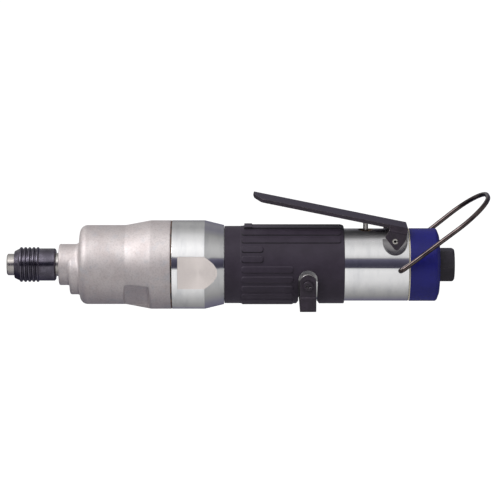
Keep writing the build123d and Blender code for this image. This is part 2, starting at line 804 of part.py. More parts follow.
# Grip: a rubber sleeve with lengthwise grooves, notched for the reverse yoke
field_x = grip_x + grip_ring_length
field_end_x = grip_end_x - grip_tail
with BuildPart() as grip:
    turn([
        (grip_x, body_radius + slip),
        (grip_x, grip_ring_radius, edge_break),
        (field_x, grip_ring_radius),
        (field_x, grip_radius),
        (field_end_x, grip_radius),
        (grip_end_x, body_radius + grip_tail_wall),
        (grip_end_x, body_radius + slip),
    ])
    with Locations((grip_x + pad_x, 0, body_radius + 2 * slip)):
        Box(pad_run, 2 * pad_half_width, grip_radius + pad_height - body_radius - 2 * slip,
            align=(Align.MIN, Align.CENTER, Align.MIN))
    with Locations((grip_x + pad_x + pad_run, 0, body_radius + 2 * slip)):
        Box(field_end_x - grip_x - pad_x - pad_run, 2 * spine_half_width,
            grip_radius - body_radius - 2 * slip, align=(Align.MIN, Align.CENTER, Align.MIN))
    for groove in range(grip_groove_count):
        angle = groove * 360 / grip_groove_count
        if angle == 90:
            continue
        climb = min(angle, abs(180 - angle))
        start = field_x + groove_margin
        end = field_end_x - groove_margin
        if 0 < angle < 180 and climb < short_groove_climb:
            end = start + short_groove
        elif angle >= 180 or angle == 0:
            end = start + middle_groove
        with BuildSketch(radial_plane((start + end) / 2, grip_radius - grip_groove_depth, angle)):
            SlotOverall(end - start, grip_groove_width)
        extrude(amount=2 * grip_groove_depth, mode=Mode.SUBTRACT)
    with BuildSketch(Plane.XZ):
        with Locations((reverse_x, notch_top_z)):
            Circle(slot_width / 2)
        outline([
            (reverse_x - slot_width / 2, notch_top_z),
            (reverse_x + slot_width / 2, notch_top_z),
            (reverse_x + slot_width / 2, notch_flare - grip_radius),
            (reverse_x + notch_half_foot, -grip_radius),
            (reverse_x - notch_half_foot, -grip_radius),
            (reverse_x - slot_width / 2, notch_flare - grip_radius),
        ])
    extrude(amount=barrel_radius, both=True, mode=Mode.SUBTRACT)
grip.part.label = "grip"
export_step(grip.part, "parts/grip.step")

# Reverse valve spool with two lands, and a seal in a groove near each end
spool_near = -arm_reach - yoke_travel
spool_seal_y = spool_land_pitch + spool_land / 2 + seal_section
with BuildPart() as reverse_spool:
    land_radius_out = spool_bore_radius - running
    half = [(spool_near, 0), (spool_near, spool_stem_radius)]
    for centre in (-1, 0, 1):
        middle = centre * spool_land_pitch
        half += [
            (middle - spool_land / 2, spool_stem_radius if centre == -1 else spool_neck_radius),
            (middle - spool_land / 2, land_radius_out),
            (middle + spool_land / 2, land_radius_out),
            (middle + spool_land / 2, spool_stem_radius if centre == 1 else spool_neck_radius),
        ]
    half += [(arm_reach, spool_stem_radius), (arm_reach, 0)]
    turn(half, spool_plane)
    for y, way in ((spool_near, 1), (arm_reach, -1)):
        with Locations(Plane(origin=(reverse_x, y, reverse_z), z_dir=(0, way, 0))):
            Cylinder(screw_radius, screw_length, mode=Mode.SUBTRACT,
                     align=(Align.CENTER, Align.CENTER, Align.MIN))
reverse_spool.part.label = "reverse_spool"
export_step(reverse_spool.part, "parts/reverse_spool.step")

with BuildPart() as spool_seals:
    for side in (-1, 1):
        ring(side * spool_seal_y - seal_section / 2, side * spool_seal_y + seal_section / 2,
             spool_stem_radius, land_radius_out, spool_plane)
spool_seals.part.label = "spool_seals"
export_step(spool_seals.part, "parts/spool_seals.step")

# Reverse yoke: two arms and a bridge that pass under the body
near_out = spool_near - arm_thickness
far_out = arm_reach + arm_thickness
arm_crown_z = arm_top_z + arm_width / 2
with BuildPart() as reverse_yoke:
    with BuildSketch(Plane.YZ.offset(reverse_x - arm_width / 2)):
        outline([
            (near_out, arm_crown_z),
            (near_out, foot_z),
            (near_out - foot_step, foot_z - foot_step),
            (near_out - foot_step, bridge_bottom_z, yoke_corner),
            (far_out + foot_step, bridge_bottom_z, yoke_corner),
            (far_out + foot_step, foot_z - foot_step),
            (far_out, foot_z),
            (far_out, arm_crown_z),
            (arm_reach, arm_crown_z),
            (arm_reach, bridge_top_z),
            (spool_near, bridge_top_z),
            (spool_near, arm_crown_z),
        ])
    extrude(amount=arm_width)
    with BuildSketch(Plane.XZ):
        with Locations((reverse_x, arm_top_z)):
            Circle(arm_width / 2)
        with Locations((reverse_x, arm_top_z)):
            Rectangle(arm_width, arm_top_z - bridge_bottom_z + 1, align=(Align.CENTER, Align.MAX))
    extrude(amount=2 * barrel_radius, both=True, mode=Mode.INTERSECT)
    with Locations(Plane(origin=(reverse_x, 0, reverse_z), z_dir=(0, 1, 0))):
        Cylinder(screw_radius + slip, 4 * barrel_radius, mode=Mode.SUBTRACT)
reverse_yoke.part.label = "reverse_yoke"
export_step(reverse_yoke.part, "parts/reverse_yoke.step")

with BuildPart() as yoke_screws:
    for y, way in ((near_out, 1), (far_out, -1)):
        screw_plane = Plane(origin=(reverse_x, y, reverse_z), x_dir=(0, way, 0), z_dir=(0, 0, 1))
        turn([
            (-screw_head_height, 0),
            (-screw_head_height, screw_head_radius, screw_head_height / 2),
            (0, screw_head_radius),
            (0, screw_radius - slip),
            (arm_thickness + screw_length - slip, screw_radius - slip),
            (arm_thickness + screw_length - slip, 0),
        ], screw_plane)
        with Locations((reverse_x, y - way * screw_head_height, reverse_z)):
            Box(2 * screw_radius, 2 * screw_recess, screw_recess, mode=Mode.SUBTRACT)
            Box(screw_recess, 2 * screw_recess, 2 * screw_radius, mode=Mode.SUBTRACT)
yoke_screws.part.label = "yoke_screws"
export_step(yoke_screws.part, "parts/yoke_screws.step")

# Throttle lever: one pressed sheet, a long arm that ends in a saddle with two ears
pin_centre = (lever_pin_x, 0, lever_pin_z)
lever_way = Vector(cos(slope), 0, -sin(slope))
lever_side = Plane(origin=pin_centre, x_dir=lever_way, z_dir=(0, -1, 0))
lever_section = Plane(origin=pin_centre, x_dir=(0, 1, 0), z_dir=lever_way)
lever_plan = Plane(origin=pin_centre, x_dir=lever_way, z_dir=(sin(slope), 0, cos(slope)))
lever_tip_x = grip_x + pad_x + pad_run + lever_tip_gap
lever_reach = (lever_pin_x + lever_top * sin(slope) - lever_tip_x) / cos(slope)
with BuildPart() as throttle_lever:
    with BuildSketch(lever_section.offset(-spot_radius)):
        outline([
            (-ear_reach, -spot_radius),
            (-ear_reach, lever_top - shoulder_drop, lever_sheet),
            (-lever_width / 2, lever_top, lever_sheet / 2),
            (lever_width / 2, lever_top, lever_sheet / 2),
            (ear_reach, lever_top - shoulder_drop, lever_sheet),
            (ear_reach, -spot_radius),
            (ear_inside, -spot_radius),
            (ear_inside, lever_underside - shoulder_drop),
            (lever_width / 2, lever_underside),
            (-lever_width / 2, lever_underside),
            (-ear_inside, lever_underside - shoulder_drop),
            (-ear_inside, -spot_radius),
        ])
    extrude(amount=spot_radius + lever_rear)
    with BuildSketch(lever_side):
        outline([
            (spot_gap - spot_radius, lever_top + lever_sheet),
            (spot_gap - spot_radius, ear_front, lever_sheet / 2),
            (ear_toe, -ear_toe_drop, ear_round),
            (ear_heel, -ear_heel_drop, ear_round),
            (lever_rear, ear_back),
            (lever_rear, lever_top + lever_sheet),
        ])
    extrude(amount=2 * ear_reach, both=True, mode=Mode.INTERSECT)
    with BuildSketch(lever_plan.offset(lever_underside)):
        outline([
            (-lever_reach, -lever_width / 2, lever_tip_near_round),
            (-lever_reach, lever_width / 2, lever_tip_far_round),
            (0, lever_width / 2),
            (0, -lever_width / 2),
        ])
    extrude(amount=lever_sheet)
    with Locations(Plane(origin=pin_centre, z_dir=(0, 1, 0))):
        Cylinder(lever_pin_radius + running, 4 * ear_reach, mode=Mode.SUBTRACT)
throttle_lever.part.label = "throttle_lever"
export_step(throttle_lever.part, "parts/throttle_lever.step")

# Roll pin that the lever swings on
with BuildPart() as lever_pin:
    with Locations(Plane(origin=pin_centre, z_dir=(0, 1, 0))):
        Cylinder(lever_pin_radius - running / 5, 2 * ear_reach - lever_pin_slot)
        Cylinder(lever_pin_hollow, 2 * ear_reach, mode=Mode.SUBTRACT)
    with Locations((lever_pin_x + lever_pin_radius, 0, lever_pin_z)):
        Box(2 * lever_pin_radius, 2 * ear_reach, lever_pin_slot, mode=Mode.SUBTRACT)
lever_pin.part.label = "lever_pin"
export_step(lever_pin.part, "parts/lever_pin.step")

# Throttle bush, stem, valve seal and spring in the bore under the lever
with BuildPart() as throttle_bush:
    turn([
        (bush_bottom_z, bush_chamber_radius),
        (bush_bottom_z, throttle_bore_radius - slip),
        (bush_top_z, throttle_bore_radius - slip),
        (bush_top_z, stem_radius + running),
        (bush_chamber_top, stem_radius + running),
        (bush_chamber_top, bush_chamber_radius),
    ], stem_plane)
    with Locations(Plane(origin=(stem_x, 0, window_z), z_dir=(1, 0, 0))):
        Cylinder(window_radius, 4 * throttle_bore_radius, mode=Mode.SUBTRACT)
throttle_bush.part.label = "throttle_bush"
export_step(throttle_bush.part, "parts/throttle_bush.step")

seal_top = bush_bottom_z - running
plate_top = seal_top - valve_seal
plate_bottom = plate_top - valve_plate
with BuildPart() as throttle_stem:
    turn([
        (plate_bottom - spring_pilot, 0),
        (plate_bottom - spring_pilot, stem_radius),
        (plate_bottom, stem_radius),
        (plate_bottom, valve_head_radius),
        (plate_top, valve_head_radius),
        (plate_top, stem_radius),
        (stem_top, stem_radius, stem_crown),
        (stem_top, 0),
    ], stem_plane)
throttle_stem.part.label = "throttle_stem"
export_step(throttle_stem.part, "parts/throttle_stem.step")

with BuildPart() as valve_seal_ring:
    ring(plate_top, seal_top, stem_radius, valve_head_radius, stem_plane)
valve_seal_ring.part.label = "valve_seal_ring"
export_step(valve_seal_ring.part, "parts/valve_seal_ring.step")

with BuildPart() as throttle_spring:
    coil(Plane(origin=(stem_x, 0, 0)), throttle_bore_floor, plate_bottom, throttle_spring_radius,
         throttle_spring_wire, throttle_spring_turns)
throttle_spring.part.label = "throttle_spring"
export_step(throttle_spring.part, "parts/throttle_spring.step")

# Rear end: gasket, exhaust cap with its silencer, inlet bush and strainer
with BuildPart() as end_gasket:
    ring(body_end_x, cap_x, cap_radius - cap_wall, cap_radius - gasket_inset)
end_gasket.part.label = "end_gasket"
export_step(end_gasket.part, "parts/end_gasket.step")

cap_inside_x = cap_end_x - cap_back
cap_bore = cap_radius - cap_wall
with BuildPart() as exhaust_cap:
    turn([
        (cap_x, cap_bore),
        (cap_x, cap_radius, edge_break),
        (cap_end_x - cap_dome, cap_radius, cap_corner),
        (cap_end_x, cap_radius - cap_flat),
        (cap_end_x, inlet_bore_radius + slip),
        (body_end_x, inlet_bore_radius + slip),
        (body_end_x, cap_boss),
        (cap_inside_x, cap_boss),
        (cap_inside_x, cap_bore),
    ])
    with BuildSketch(Plane.YZ.offset(cap_inside_x - 1)):
        with PolarLocations(outlet_circle, outlet_count):
            Circle(outlet_radius)
    extrude(amount=cap_back + 2, mode=Mode.SUBTRACT)
exhaust_cap.part.label = "exhaust_cap"
export_step(exhaust_cap.part, "parts/exhaust_cap.step")

with BuildPart() as silencer:
    ring(cap_x + free, cap_inside_x - free, cap_boss + slip, cap_bore - slip)
silencer.part.label = "silencer"
export_step(silencer.part, "parts/silencer.step")

thread_end_x = inlet_end_x - thread_depth
strainer_seat_x = thread_end_x - strainer_flange - slip
strainer_seat_radius = thread_radius - strainer_seat
shank_x = body_end_x - inlet_bore_depth + shank_end_gap
with BuildPart() as inlet_bush:
    with BuildSketch(Plane.YZ.offset(cap_end_x)):
        RegularPolygon(inlet_across_flats / 2, 6, major_radius=False)
    extrude(amount=inlet_length)
    turn([
        (cap_end_x, 0),
        (cap_end_x, inlet_across_flats),
        (inlet_end_x - inlet_chamfer, inlet_across_flats / 2 + inlet_chamfer),
        (inlet_end_x, inlet_across_flats / 2 - inlet_chamfer / 4),
        (inlet_end_x, 0),
    ], mode=Mode.INTERSECT)
    ring(shank_x, cap_end_x, 0, inlet_bore_radius - slip)
    turn([
        (shank_x, 0),
        (shank_x, air_radius),
        (strainer_seat_x, air_radius),
        (strainer_seat_x, strainer_seat_radius),
        (thread_end_x, strainer_seat_radius),
        (thread_end_x, thread_radius),
        (inlet_end_x - thread_chamfer, thread_radius),
        (inlet_end_x, thread_radius + thread_chamfer),
        (inlet_end_x, 0),
    ], mode=Mode.SUBTRACT)
inlet_bush.part.label = "inlet_bush"
export_step(inlet_bush.part, "parts/inlet_bush.step")

strainer_end_x = strainer_seat_x + strainer_flange
strainer_radius = air_radius - slip
strainer_x = strainer_end_x - strainer_length
with BuildPart() as inlet_strainer:
    turn([
        (strainer_x, 0),
        (strainer_x, strainer_radius),
        (strainer_seat_x, strainer_radius),
        (strainer_seat_x, strainer_seat_radius - slip),
        (strainer_end_x, strainer_seat_radius - slip),
        (strainer_end_x, strainer_radius - strainer_wall),
        (strainer_x + strainer_wall, strainer_radius - strainer_wall),
        (strainer_x + strainer_wall, 0),
    ])
    with BuildSketch(Plane.YZ.offset(strainer_x)):
        Circle(strainer_hole_radius)
        with PolarLocations(strainer_circle, strainer_holes):
            Circle(strainer_hole_radius)
    extrude(amount=strainer_wall, mode=Mode.SUBTRACT)
inlet_strainer.part.label = "inlet_strainer"
export_step(inlet_strainer.part, "parts/inlet_strainer.step")

# Hanging bail: one wire, bent in at both ends into holes beside the body
tilt = radians(bail_angle)
bail_plane = Plane(origin=(bail_x, 0, bail_z), x_dir=(cos(tilt), 0, sin(tilt)),
                   z_dir=(-sin(tilt), 0, cos(tilt)))
with BuildPart() as bail:
    with BuildLine(bail_plane) as bail_path:
        FilletPolyline(
            (0, -bail_root),
            (0, -bail_half_width),
            (bail_length, -bail_half_width - bail_splay),
            (bail_length, bail_half_width + bail_splay),
            (0, bail_half_width),
            (0, bail_root),
            radius=[bail_bend, bail_bow, bail_bow, bail_bend],
        )
    with BuildSketch(Plane(origin=bail_path.line @ 0, z_dir=bail_path.line % 0)):
        Circle(bail_wire)
    sweep(path=bail_path.line)
bail.part.label = "bail"
export_step(bail.part, "parts/bail.step")
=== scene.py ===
"""Looks of an inline air pulse tool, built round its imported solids.

Lengths are in metres and the frame is the solids' own: the mouth of the bit
socket is the origin, +X runs back to the air inlet and +Z is the lever's side.
"""

import json
import logging
import math
from collections.abc import Callable
from dataclasses import dataclass, field
from enum import Enum
from typing import Union

import bmesh  # noqa: E402
import bpy  # noqa: E402
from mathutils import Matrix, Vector  # noqa: E402

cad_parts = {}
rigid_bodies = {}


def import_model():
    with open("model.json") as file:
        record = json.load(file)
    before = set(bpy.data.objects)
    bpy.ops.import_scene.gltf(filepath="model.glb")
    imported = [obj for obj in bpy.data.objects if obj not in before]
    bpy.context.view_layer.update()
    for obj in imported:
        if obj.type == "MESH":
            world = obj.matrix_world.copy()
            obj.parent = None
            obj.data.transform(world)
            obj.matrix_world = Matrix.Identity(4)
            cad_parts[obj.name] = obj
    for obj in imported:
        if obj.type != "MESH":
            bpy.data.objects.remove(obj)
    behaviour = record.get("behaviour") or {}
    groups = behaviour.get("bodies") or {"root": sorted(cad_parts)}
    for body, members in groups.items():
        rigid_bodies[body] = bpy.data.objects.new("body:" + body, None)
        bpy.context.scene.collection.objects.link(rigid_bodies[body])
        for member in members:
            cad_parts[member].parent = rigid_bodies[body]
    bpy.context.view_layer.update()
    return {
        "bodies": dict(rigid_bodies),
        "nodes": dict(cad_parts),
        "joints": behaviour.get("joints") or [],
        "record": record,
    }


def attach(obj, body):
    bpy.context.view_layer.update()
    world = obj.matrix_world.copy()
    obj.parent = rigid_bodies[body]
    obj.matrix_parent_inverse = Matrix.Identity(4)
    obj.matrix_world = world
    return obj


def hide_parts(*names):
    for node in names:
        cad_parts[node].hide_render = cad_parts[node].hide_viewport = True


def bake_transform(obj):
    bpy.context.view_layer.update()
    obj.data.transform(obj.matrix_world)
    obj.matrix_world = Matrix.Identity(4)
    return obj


MM = 0.001
BEVEL_SAMPLES = 4
SMOOTH_BELOW = math.radians(32.0)
THROUGH = 20.0 * MM  # half the depth of a cutter that goes right through
LOG = logging.getLogger("pulse_tool")

Colour = tuple[float, float, float]
Point = tuple[float, float, float]
Input = Union["Signal", float, tuple]


class Body(Enum):
    """The bodies that a new piece can ride on."""

    HOUSING = "housing"
    SPINDLE = "spindle"
    SLEEVE = "sleeve"
    LEVER = "lever"
    STEM = "stem"


class Slot(Enum):
    """Names of three of the record's material slots."""

    RUBBER = "grip_rubber"
    BLACK = "black_steel"
    SPRING = "spring_steel"


class Lay(Enum):
    """The way that a finish's fine tool marks run: marks per metre along X, Y and Z."""

    ROUND = (9000.0, 60.0, 60.0)
    LENGTHWISE = (60.0, 6000.0, 6000.0)
    ALL_WAYS = (1800.0, 1800.0, 1800.0)


class Signal:
    """A number, colour or vector inside a material, written like a Python value."""

    def __init__(self, graph: "Graph", socket: bpy.types.NodeSocket) -> None:
        """Keeps the socket and the graph that it belongs to."""
        self.graph = graph
        self.socket = socket

    def math(self, operation: str, *values: Input) -> "Signal":
        """Adds a Math node.

        Args:
            operation: The node's operation.
            values: The node's inputs, in order.

        Returns:
            The node's result.
        """
        return self.graph.add("ShaderNodeMath", {"operation": operation}, dict(enumerate(values)))

    def __add__(self, other: Input) -> "Signal":
        """self + other."""
        return self.math("ADD", self, other)

    def __radd__(self, other: Input) -> "Signal":
        """other + self."""
        return self.math("ADD", other, self)

    def __sub__(self, other: Input) -> "Signal":
        """self - other."""
        return self.math("SUBTRACT", self, other)

    def __rsub__(self, other: Input) -> "Signal":
        """other - self."""
        return self.math("SUBTRACT", other, self)

    def __mul__(self, other: Input) -> "Signal":
        """self * other."""
        return self.math("MULTIPLY", self, other)

    def __rmul__(self, other: Input) -> "Signal":
        """other * self."""
        return self.math("MULTIPLY", other, self)

    def __truediv__(self, other: Input) -> "Signal":
        """self / other."""
        return self.math("DIVIDE", self, other)

    def __abs__(self) -> "Signal":
        """abs(self)."""
        return self.math("ABSOLUTE", self)

    def sine(self) -> "Signal":
        """The sine of this number, in radians."""
        return self.math("SINE", self)

    def step(self, low: float, high: float) -> "Signal":
        """Rises smoothly from 0 at low to 1 at high, or falls where low is the higher.

        Args:
            low: Where the result is 0.
            high: Where the result is 1.

        Returns:
            A number from 0 to 1.
        """
        return self.graph.add(
            "ShaderNodeMapRange",
            {"interpolation_type": "SMOOTHSTEP"},
            {"Value": self, "From Min": low, "From Max": high},
        )

    def part(self, axis: str) -> "Signal":
        """One component of this vector, X, Y or Z."""
        return self.graph.add("ShaderNodeSeparateXYZ", {}, {"Vector": self}, axis)

    def scaled(self, by: Point) -> "Signal":
        """This vector with each component multiplied."""
        return self.graph.add("ShaderNodeVectorMath", {"operation": "MULTIPLY"}, {0: self, 1: by})

    def minus(self, other: Input) -> "Signal":
        """This vector less another."""
        return self.graph.add("ShaderNodeVectorMath", {"operation": "SUBTRACT"}, {0: self, 1: other})

    def length(self) -> "Signal":
        """The length of this vector."""
        return self.graph.add("ShaderNodeVectorMath", {"operation": "LENGTH"}, {0: self}, "Value")

    def aside_of(self, x: float, z: float) -> "Signal":
        """How far this point is from the line across the tool through x and z."""
        return self.minus((x, 0.0, z)).scaled((1.0, 0.0, 1.0)).length()

    def dot(self, other: Input) -> "Signal":
        """The dot product with another vector."""
        return self.graph.add(
            "ShaderNodeVectorMath", {"operation": "DOT_PRODUCT"}, {0: self, 1: other}, "Value"
        )


class Graph:
    """The node tree of a material or of the world, filled node by node."""

    def __init__(self, tree: bpy.types.NodeTree) -> None:
        """Empties the tree."""
        self.tree = tree
        tree.nodes.clear()

    @staticmethod
    def _pick(sockets: bpy.types.bpy_prop_collection, key: int | str) -> bpy.types.NodeSocket:
        """Finds a socket by its number, or the first one in use by its name."""
        if isinstance(key, int):
            return sockets[key]
        return next(s for s in sockets if s.enabled and s.name == key)

    def add(self, kind: str, settings: dict, inputs: dict, output: int | str = 0) -> Signal:
        """Adds one node.

        Args:
            kind: The node's type.
            settings: Its properties, set first; "stops" fills a colour ramp.
            inputs: The value or link of each socket, by name or number.
            output: The output that the result reads.

        Returns:
            The chosen output, or a signal without a socket for an end node.
        """
        node = self.tree.nodes.new(kind)
        for name, value in settings.items():
            if name == "stops":
                self._fill_ramp(node.color_ramp, value)
            else:
                setattr(node, name, value)
        for key, value in inputs.items():
            socket = self._pick(node.inputs, key)
            if isinstance(value, Signal):
                self.tree.links.new(value.socket, socket)
            elif socket.type == "RGBA" and len(value) == 3:
                socket.default_value = (*value, 1.0)
            else:
                socket.default_value = value
        return Signal(self, self._pick(node.outputs, output) if len(node.outputs) else None)

    @staticmethod
    def _fill_ramp(ramp: bpy.types.ColorRamp, stops: list[tuple[float, Colour]]) -> None:
        """Gives a ramp its stops, each a place from 0 to 1 and a colour."""
        while len(ramp.elements) < len(stops):
            ramp.elements.new(1.0)
        for element, (place, colour) in zip(ramp.elements, stops):
            element.position = place
            element.color = (*colour, 1.0)

    def place(self) -> Signal:
        """The point on the piece, in the frame and in metres."""
        return self.add("ShaderNodeTexCoord", {}, {}, "Object")

    def facing(self) -> Signal:
        """The direction that the surface faces, in the piece's own frame."""
        return self.add("ShaderNodeTexCoord", {}, {}, "Normal")

    def mix(self, factor: Input, first: Input, second: Input) -> Signal:
        """A colour between two others.

        Args:
            factor: 0 for the first colour, 1 for the second.
            first: The colour at 0.
            second: The colour at 1.

        Returns:
            The mixed colour.
        """
        inputs = {"Factor": factor, "A": first, "B": second}
        return self.add("ShaderNodeMix", {"data_type": "RGBA"}, inputs, "Result")

    def noise(self, at: Signal, scale: float, detail: float = 3.0, rough: float = 0.55) -> Signal:
        """Cloudy noise around 0.5.

        Args:
            at: Where the noise is read.
            scale: Features per unit of at.
            detail: How many finer layers there are.
            rough: How strong the finer layers are.

        Returns:
            The noise, from 0 to 1.
        """
        inputs = {"Vector": at, "Scale": scale, "Detail": detail, "Roughness": rough}
        return self.add("ShaderNodeTexNoise", {}, inputs)

    def spots(self, at: Signal, scale: float, radius: float) -> Signal:
        """Scattered round spots.

        Args:
            at: Where the pattern is read.
            scale: Spots per unit of at.
            radius: A spot's radius, as a share of the spacing.

        Returns:
            1 in a spot and 0 outside.
        """
        near = self.add("ShaderNodeTexVoronoi", {}, {"Vector": at, "Scale": scale}, "Distance")
        return near.step(radius, radius * 0.5)

    def edges(self, radius: float) -> Signal:
        """How near a sharp outer or inner edge is.

        Args:
            radius: How far from the edge it is felt, in metres.

        Returns:
            0 on a plain surface, up to 1 at an edge.
        """
        rounded = self.add("ShaderNodeBevel", {"samples": BEVEL_SAMPLES}, {"Radius": radius})
        true = self.add("ShaderNodeNewGeometry", {}, {}, "Normal")
        return (1.0 - rounded.dot(true)).step(0.015, 0.16)


@dataclass
class Layers:
    """What a finish says of its surface.

    Attributes:
        colour: The base colour.
        roughness: From 0, a mirror, to 1.
        metallic: 1 for bare metal.
        height: The relief, from 0 to 1, or None.
        relief: The relief's depth in metres.
        plain: Other sockets of the shader, each with one value all over.
    """

    colour: Input
    roughness: Input
    metallic: Input = 0.0
    height: Signal | None = None
    relief: float = 0.0
    plain: dict = field(default_factory=dict)


@dataclass(frozen=True)
class Finish:
    """A surface finish.

    Attributes:
        name: The material's name.
        edge: The radius that light finds on sharp edges, in metres.
    """

    name: str
    edge: float = 0.15 * MM

    def layers(self, graph: Graph) -> Layers:
        """Says what the surface is like; each finish has its own."""
        raise NotImplementedError

    def material(self) -> bpy.types.Material:
        """Makes the material, or gives back the one made before.

        Returns:
            The finished material.
        """
        made = bpy.data.materials.get(self.name)
        if made is not None:
            return made
        made = bpy.data.materials.new(self.name)
        made.use_nodes = True
        graph = Graph(made.node_tree)
        layers = self.layers(graph)
        normal = graph.add("ShaderNodeBevel", {"samples": BEVEL_SAMPLES}, {"Radius": self.edge})
        if layers.height is not None:
            inputs = {"Height": layers.height, "Distance": layers.relief, "Normal": normal}
            normal = graph.add("ShaderNodeBump", {}, inputs)
        shader = graph.add(
            "ShaderNodeBsdfPrincipled",
            {},
            {
                "Base Color": layers.colour,
                "Roughness": layers.roughness,
                "Metallic": layers.metallic,
                "Normal": normal,
                **layers.plain,
            },
        )
        graph.add("ShaderNodeOutputMaterial", {}, {"Surface": shader})
        return made


@dataclass(frozen=True)
class Machined(Finish):
    """Turned, ground or drawn metal with fine tool marks.

    Attributes:
        colour: The metal's colour.
        stain: A second colour that clouds it.
        roughness: Its mean roughness.
        lay: The way that the marks run.
        depth: The marks' depth in metres.
        scuff: How much the marks change the roughness.
    """

    colour: Colour = (0.62, 0.60, 0.58)
    stain: Colour = (0.50, 0.47, 0.44)
    roughness: float = 0.24
    lay: Lay = Lay.ROUND
    depth: float = 0.012 * MM
    scuff: float = 0.14

    def layers(self, graph: Graph) -> Layers:
        """Bright metal, clouded a little, with marks along its lay."""
        place = graph.place()
        marks = graph.noise(place.scaled(self.lay.value), 1.0, 4.0, 0.6)
        clouds = graph.noise(place, 160.0, 4.0)
        colour = graph.mix(clouds.step(0.35, 0.75), self.colour, self.stain)
        roughness = self.roughness + self.scuff * (marks + clouds - 1.0)
        return Layers(colour, roughness, 1.0, marks, self.depth)


@dataclass(frozen=True)
class PolishedBody(Finish):
    """The motor housing: a polished turned body with two milled spanner flats.

    Attributes:
        colour: The polished metal's colour.
        clouded: The colour that clouds it.
        milled: The milled flats' colour.
        ring: The colour of the cutter's rings on them.
        flat_from: Where the flats start along the axis, in metres.
        flat_to: Where they end.
        swirl_centre: The middle of the cutter's rings along the axis.
        swirl_pitch: The distance between two rings.
        recess: The middle of the recess round the lever's pin, along X and Z.
        recess_radius: Its radius.
        recess_floor: The painted shade on its floor.
        yoke_slot: The middle of the reverse yoke's slot along the axis.
        slot_reach: How far the painted shade and the matt metal reach in front of it.
        slot_top: The height that the painted shade starts at; the metal above is matt.
        matt_top: The height that the rear is matt from, under the lever.
        grime: The painted shade's colour.
    """

    name: str = "polished_body"
    colour: Colour = (0.80, 0.795, 0.80)
    clouded: Colour = (0.70, 0.70, 0.715)
    milled: Colour = (0.83, 0.760, 0.735)
    ring: Colour = (0.70, 0.635, 0.615)
    flat_from: float = 89.0 * MM
    flat_to: float = 110.2 * MM
    swirl_centre: float = 99.6 * MM
    swirl_pitch: float = 0.62 * MM
    recess: tuple[float, float] = (200.85 * MM, 14.55 * MM)
    recess_radius: float = 6.4 * MM
    recess_floor: Colour = (0.34, 0.33, 0.335)
    yoke_slot: float = 156.0 * MM
    slot_reach: float = 6.0 * MM
    slot_top: float = -4.5 * MM
    matt_top: float = 16.0 * MM
    grime: Colour = (0.05, 0.045, 0.05)

    def layers(self, graph: Graph) -> Layers:
        """Fine marks round the body, rings of the cutter on the flats, and painted shade in the pin's
        recess and in front of the yoke's slot.
        """
        place = graph.place()
        along = place.part("X")
        marks = graph.noise(place.scaled(Lay.ROUND.value), 1.0, 4.0, 0.65)
        clouds = graph.noise(place.scaled((1.0, 0.35, 0.35)), 240.0, 4.0)
        flat = abs(graph.facing().part("Y")).step(0.985, 0.998)
        flat = flat * along.step(self.flat_from - 0.1 * MM, self.flat_from)
        flat = flat * along.step(self.flat_to, self.flat_to - 0.1 * MM)
        away = place.aside_of(self.swirl_centre, 0.0)
        wobble = graph.noise(place, 500.0, 2.0)
        rings = (away * (2.0 * math.pi / self.swirl_pitch) + wobble * 3.0).sine()
        rings = 0.5 + 0.5 * rings
        colour = graph.mix(clouds.step(0.4, 0.8), self.colour, self.clouded)
        colour = graph.mix(flat, colour, graph.mix(rings, self.milled, self.ring))
        # Painted shade: the floor of the recess round the lever's pin is darkened, and made rougher.
        from_pin = place.aside_of(*self.recess)
        floor = from_pin.step(self.recess_radius, self.recess_radius - 0.15 * MM)
        floor = floor * abs(graph.facing().part("Y")).step(0.97, 0.99)
        colour = graph.mix(floor, colour, self.recess_floor)
        # Painted shade: the metal in front of the yoke's slot, below its top, is darkened where the gap is
        # in shade, and made rougher.
        from_slot = abs(along - self.yoke_slot)
        slot_shade_mask = from_slot.step(self.slot_reach, self.slot_reach - 1.0 * MM)
        height = place.part("Z") + 2.0 * MM * clouds
        slot_shade_mask = slot_shade_mask * height.step(self.slot_top + 1.5 * MM, self.slot_top)
        slot_shade_mask = slot_shade_mask * along.step(self.yoke_slot + 1.0 * MM, self.yoke_slot - 3.0 * MM)
        colour = graph.mix(slot_shade_mask * 0.9, colour, self.grime)
        roughness = 0.05 + 0.09 * marks + 0.04 * clouds + flat * (0.05 + 0.05 * rings)
        crown = from_slot.step(self.slot_reach, self.slot_reach - 1.0 * MM)
        crown = crown * place.part("Z").step(self.slot_top - 1.0 * MM, self.slot_top)
        under = place.part("Z").step(self.matt_top - 2.5 * MM, self.matt_top)
        under = under * along.step(self.yoke_slot, self.yoke_slot + 10.0 * MM)
        roughness = roughness + 0.2 * floor + 0.3 * slot_shade_mask + 0.42 * crown + 0.3 * under
        relief = marks * (1.0 - flat) * 0.18 + rings * flat * 0.8
        return Layers(colour, roughness, 1.0, relief, 0.014 * MM)


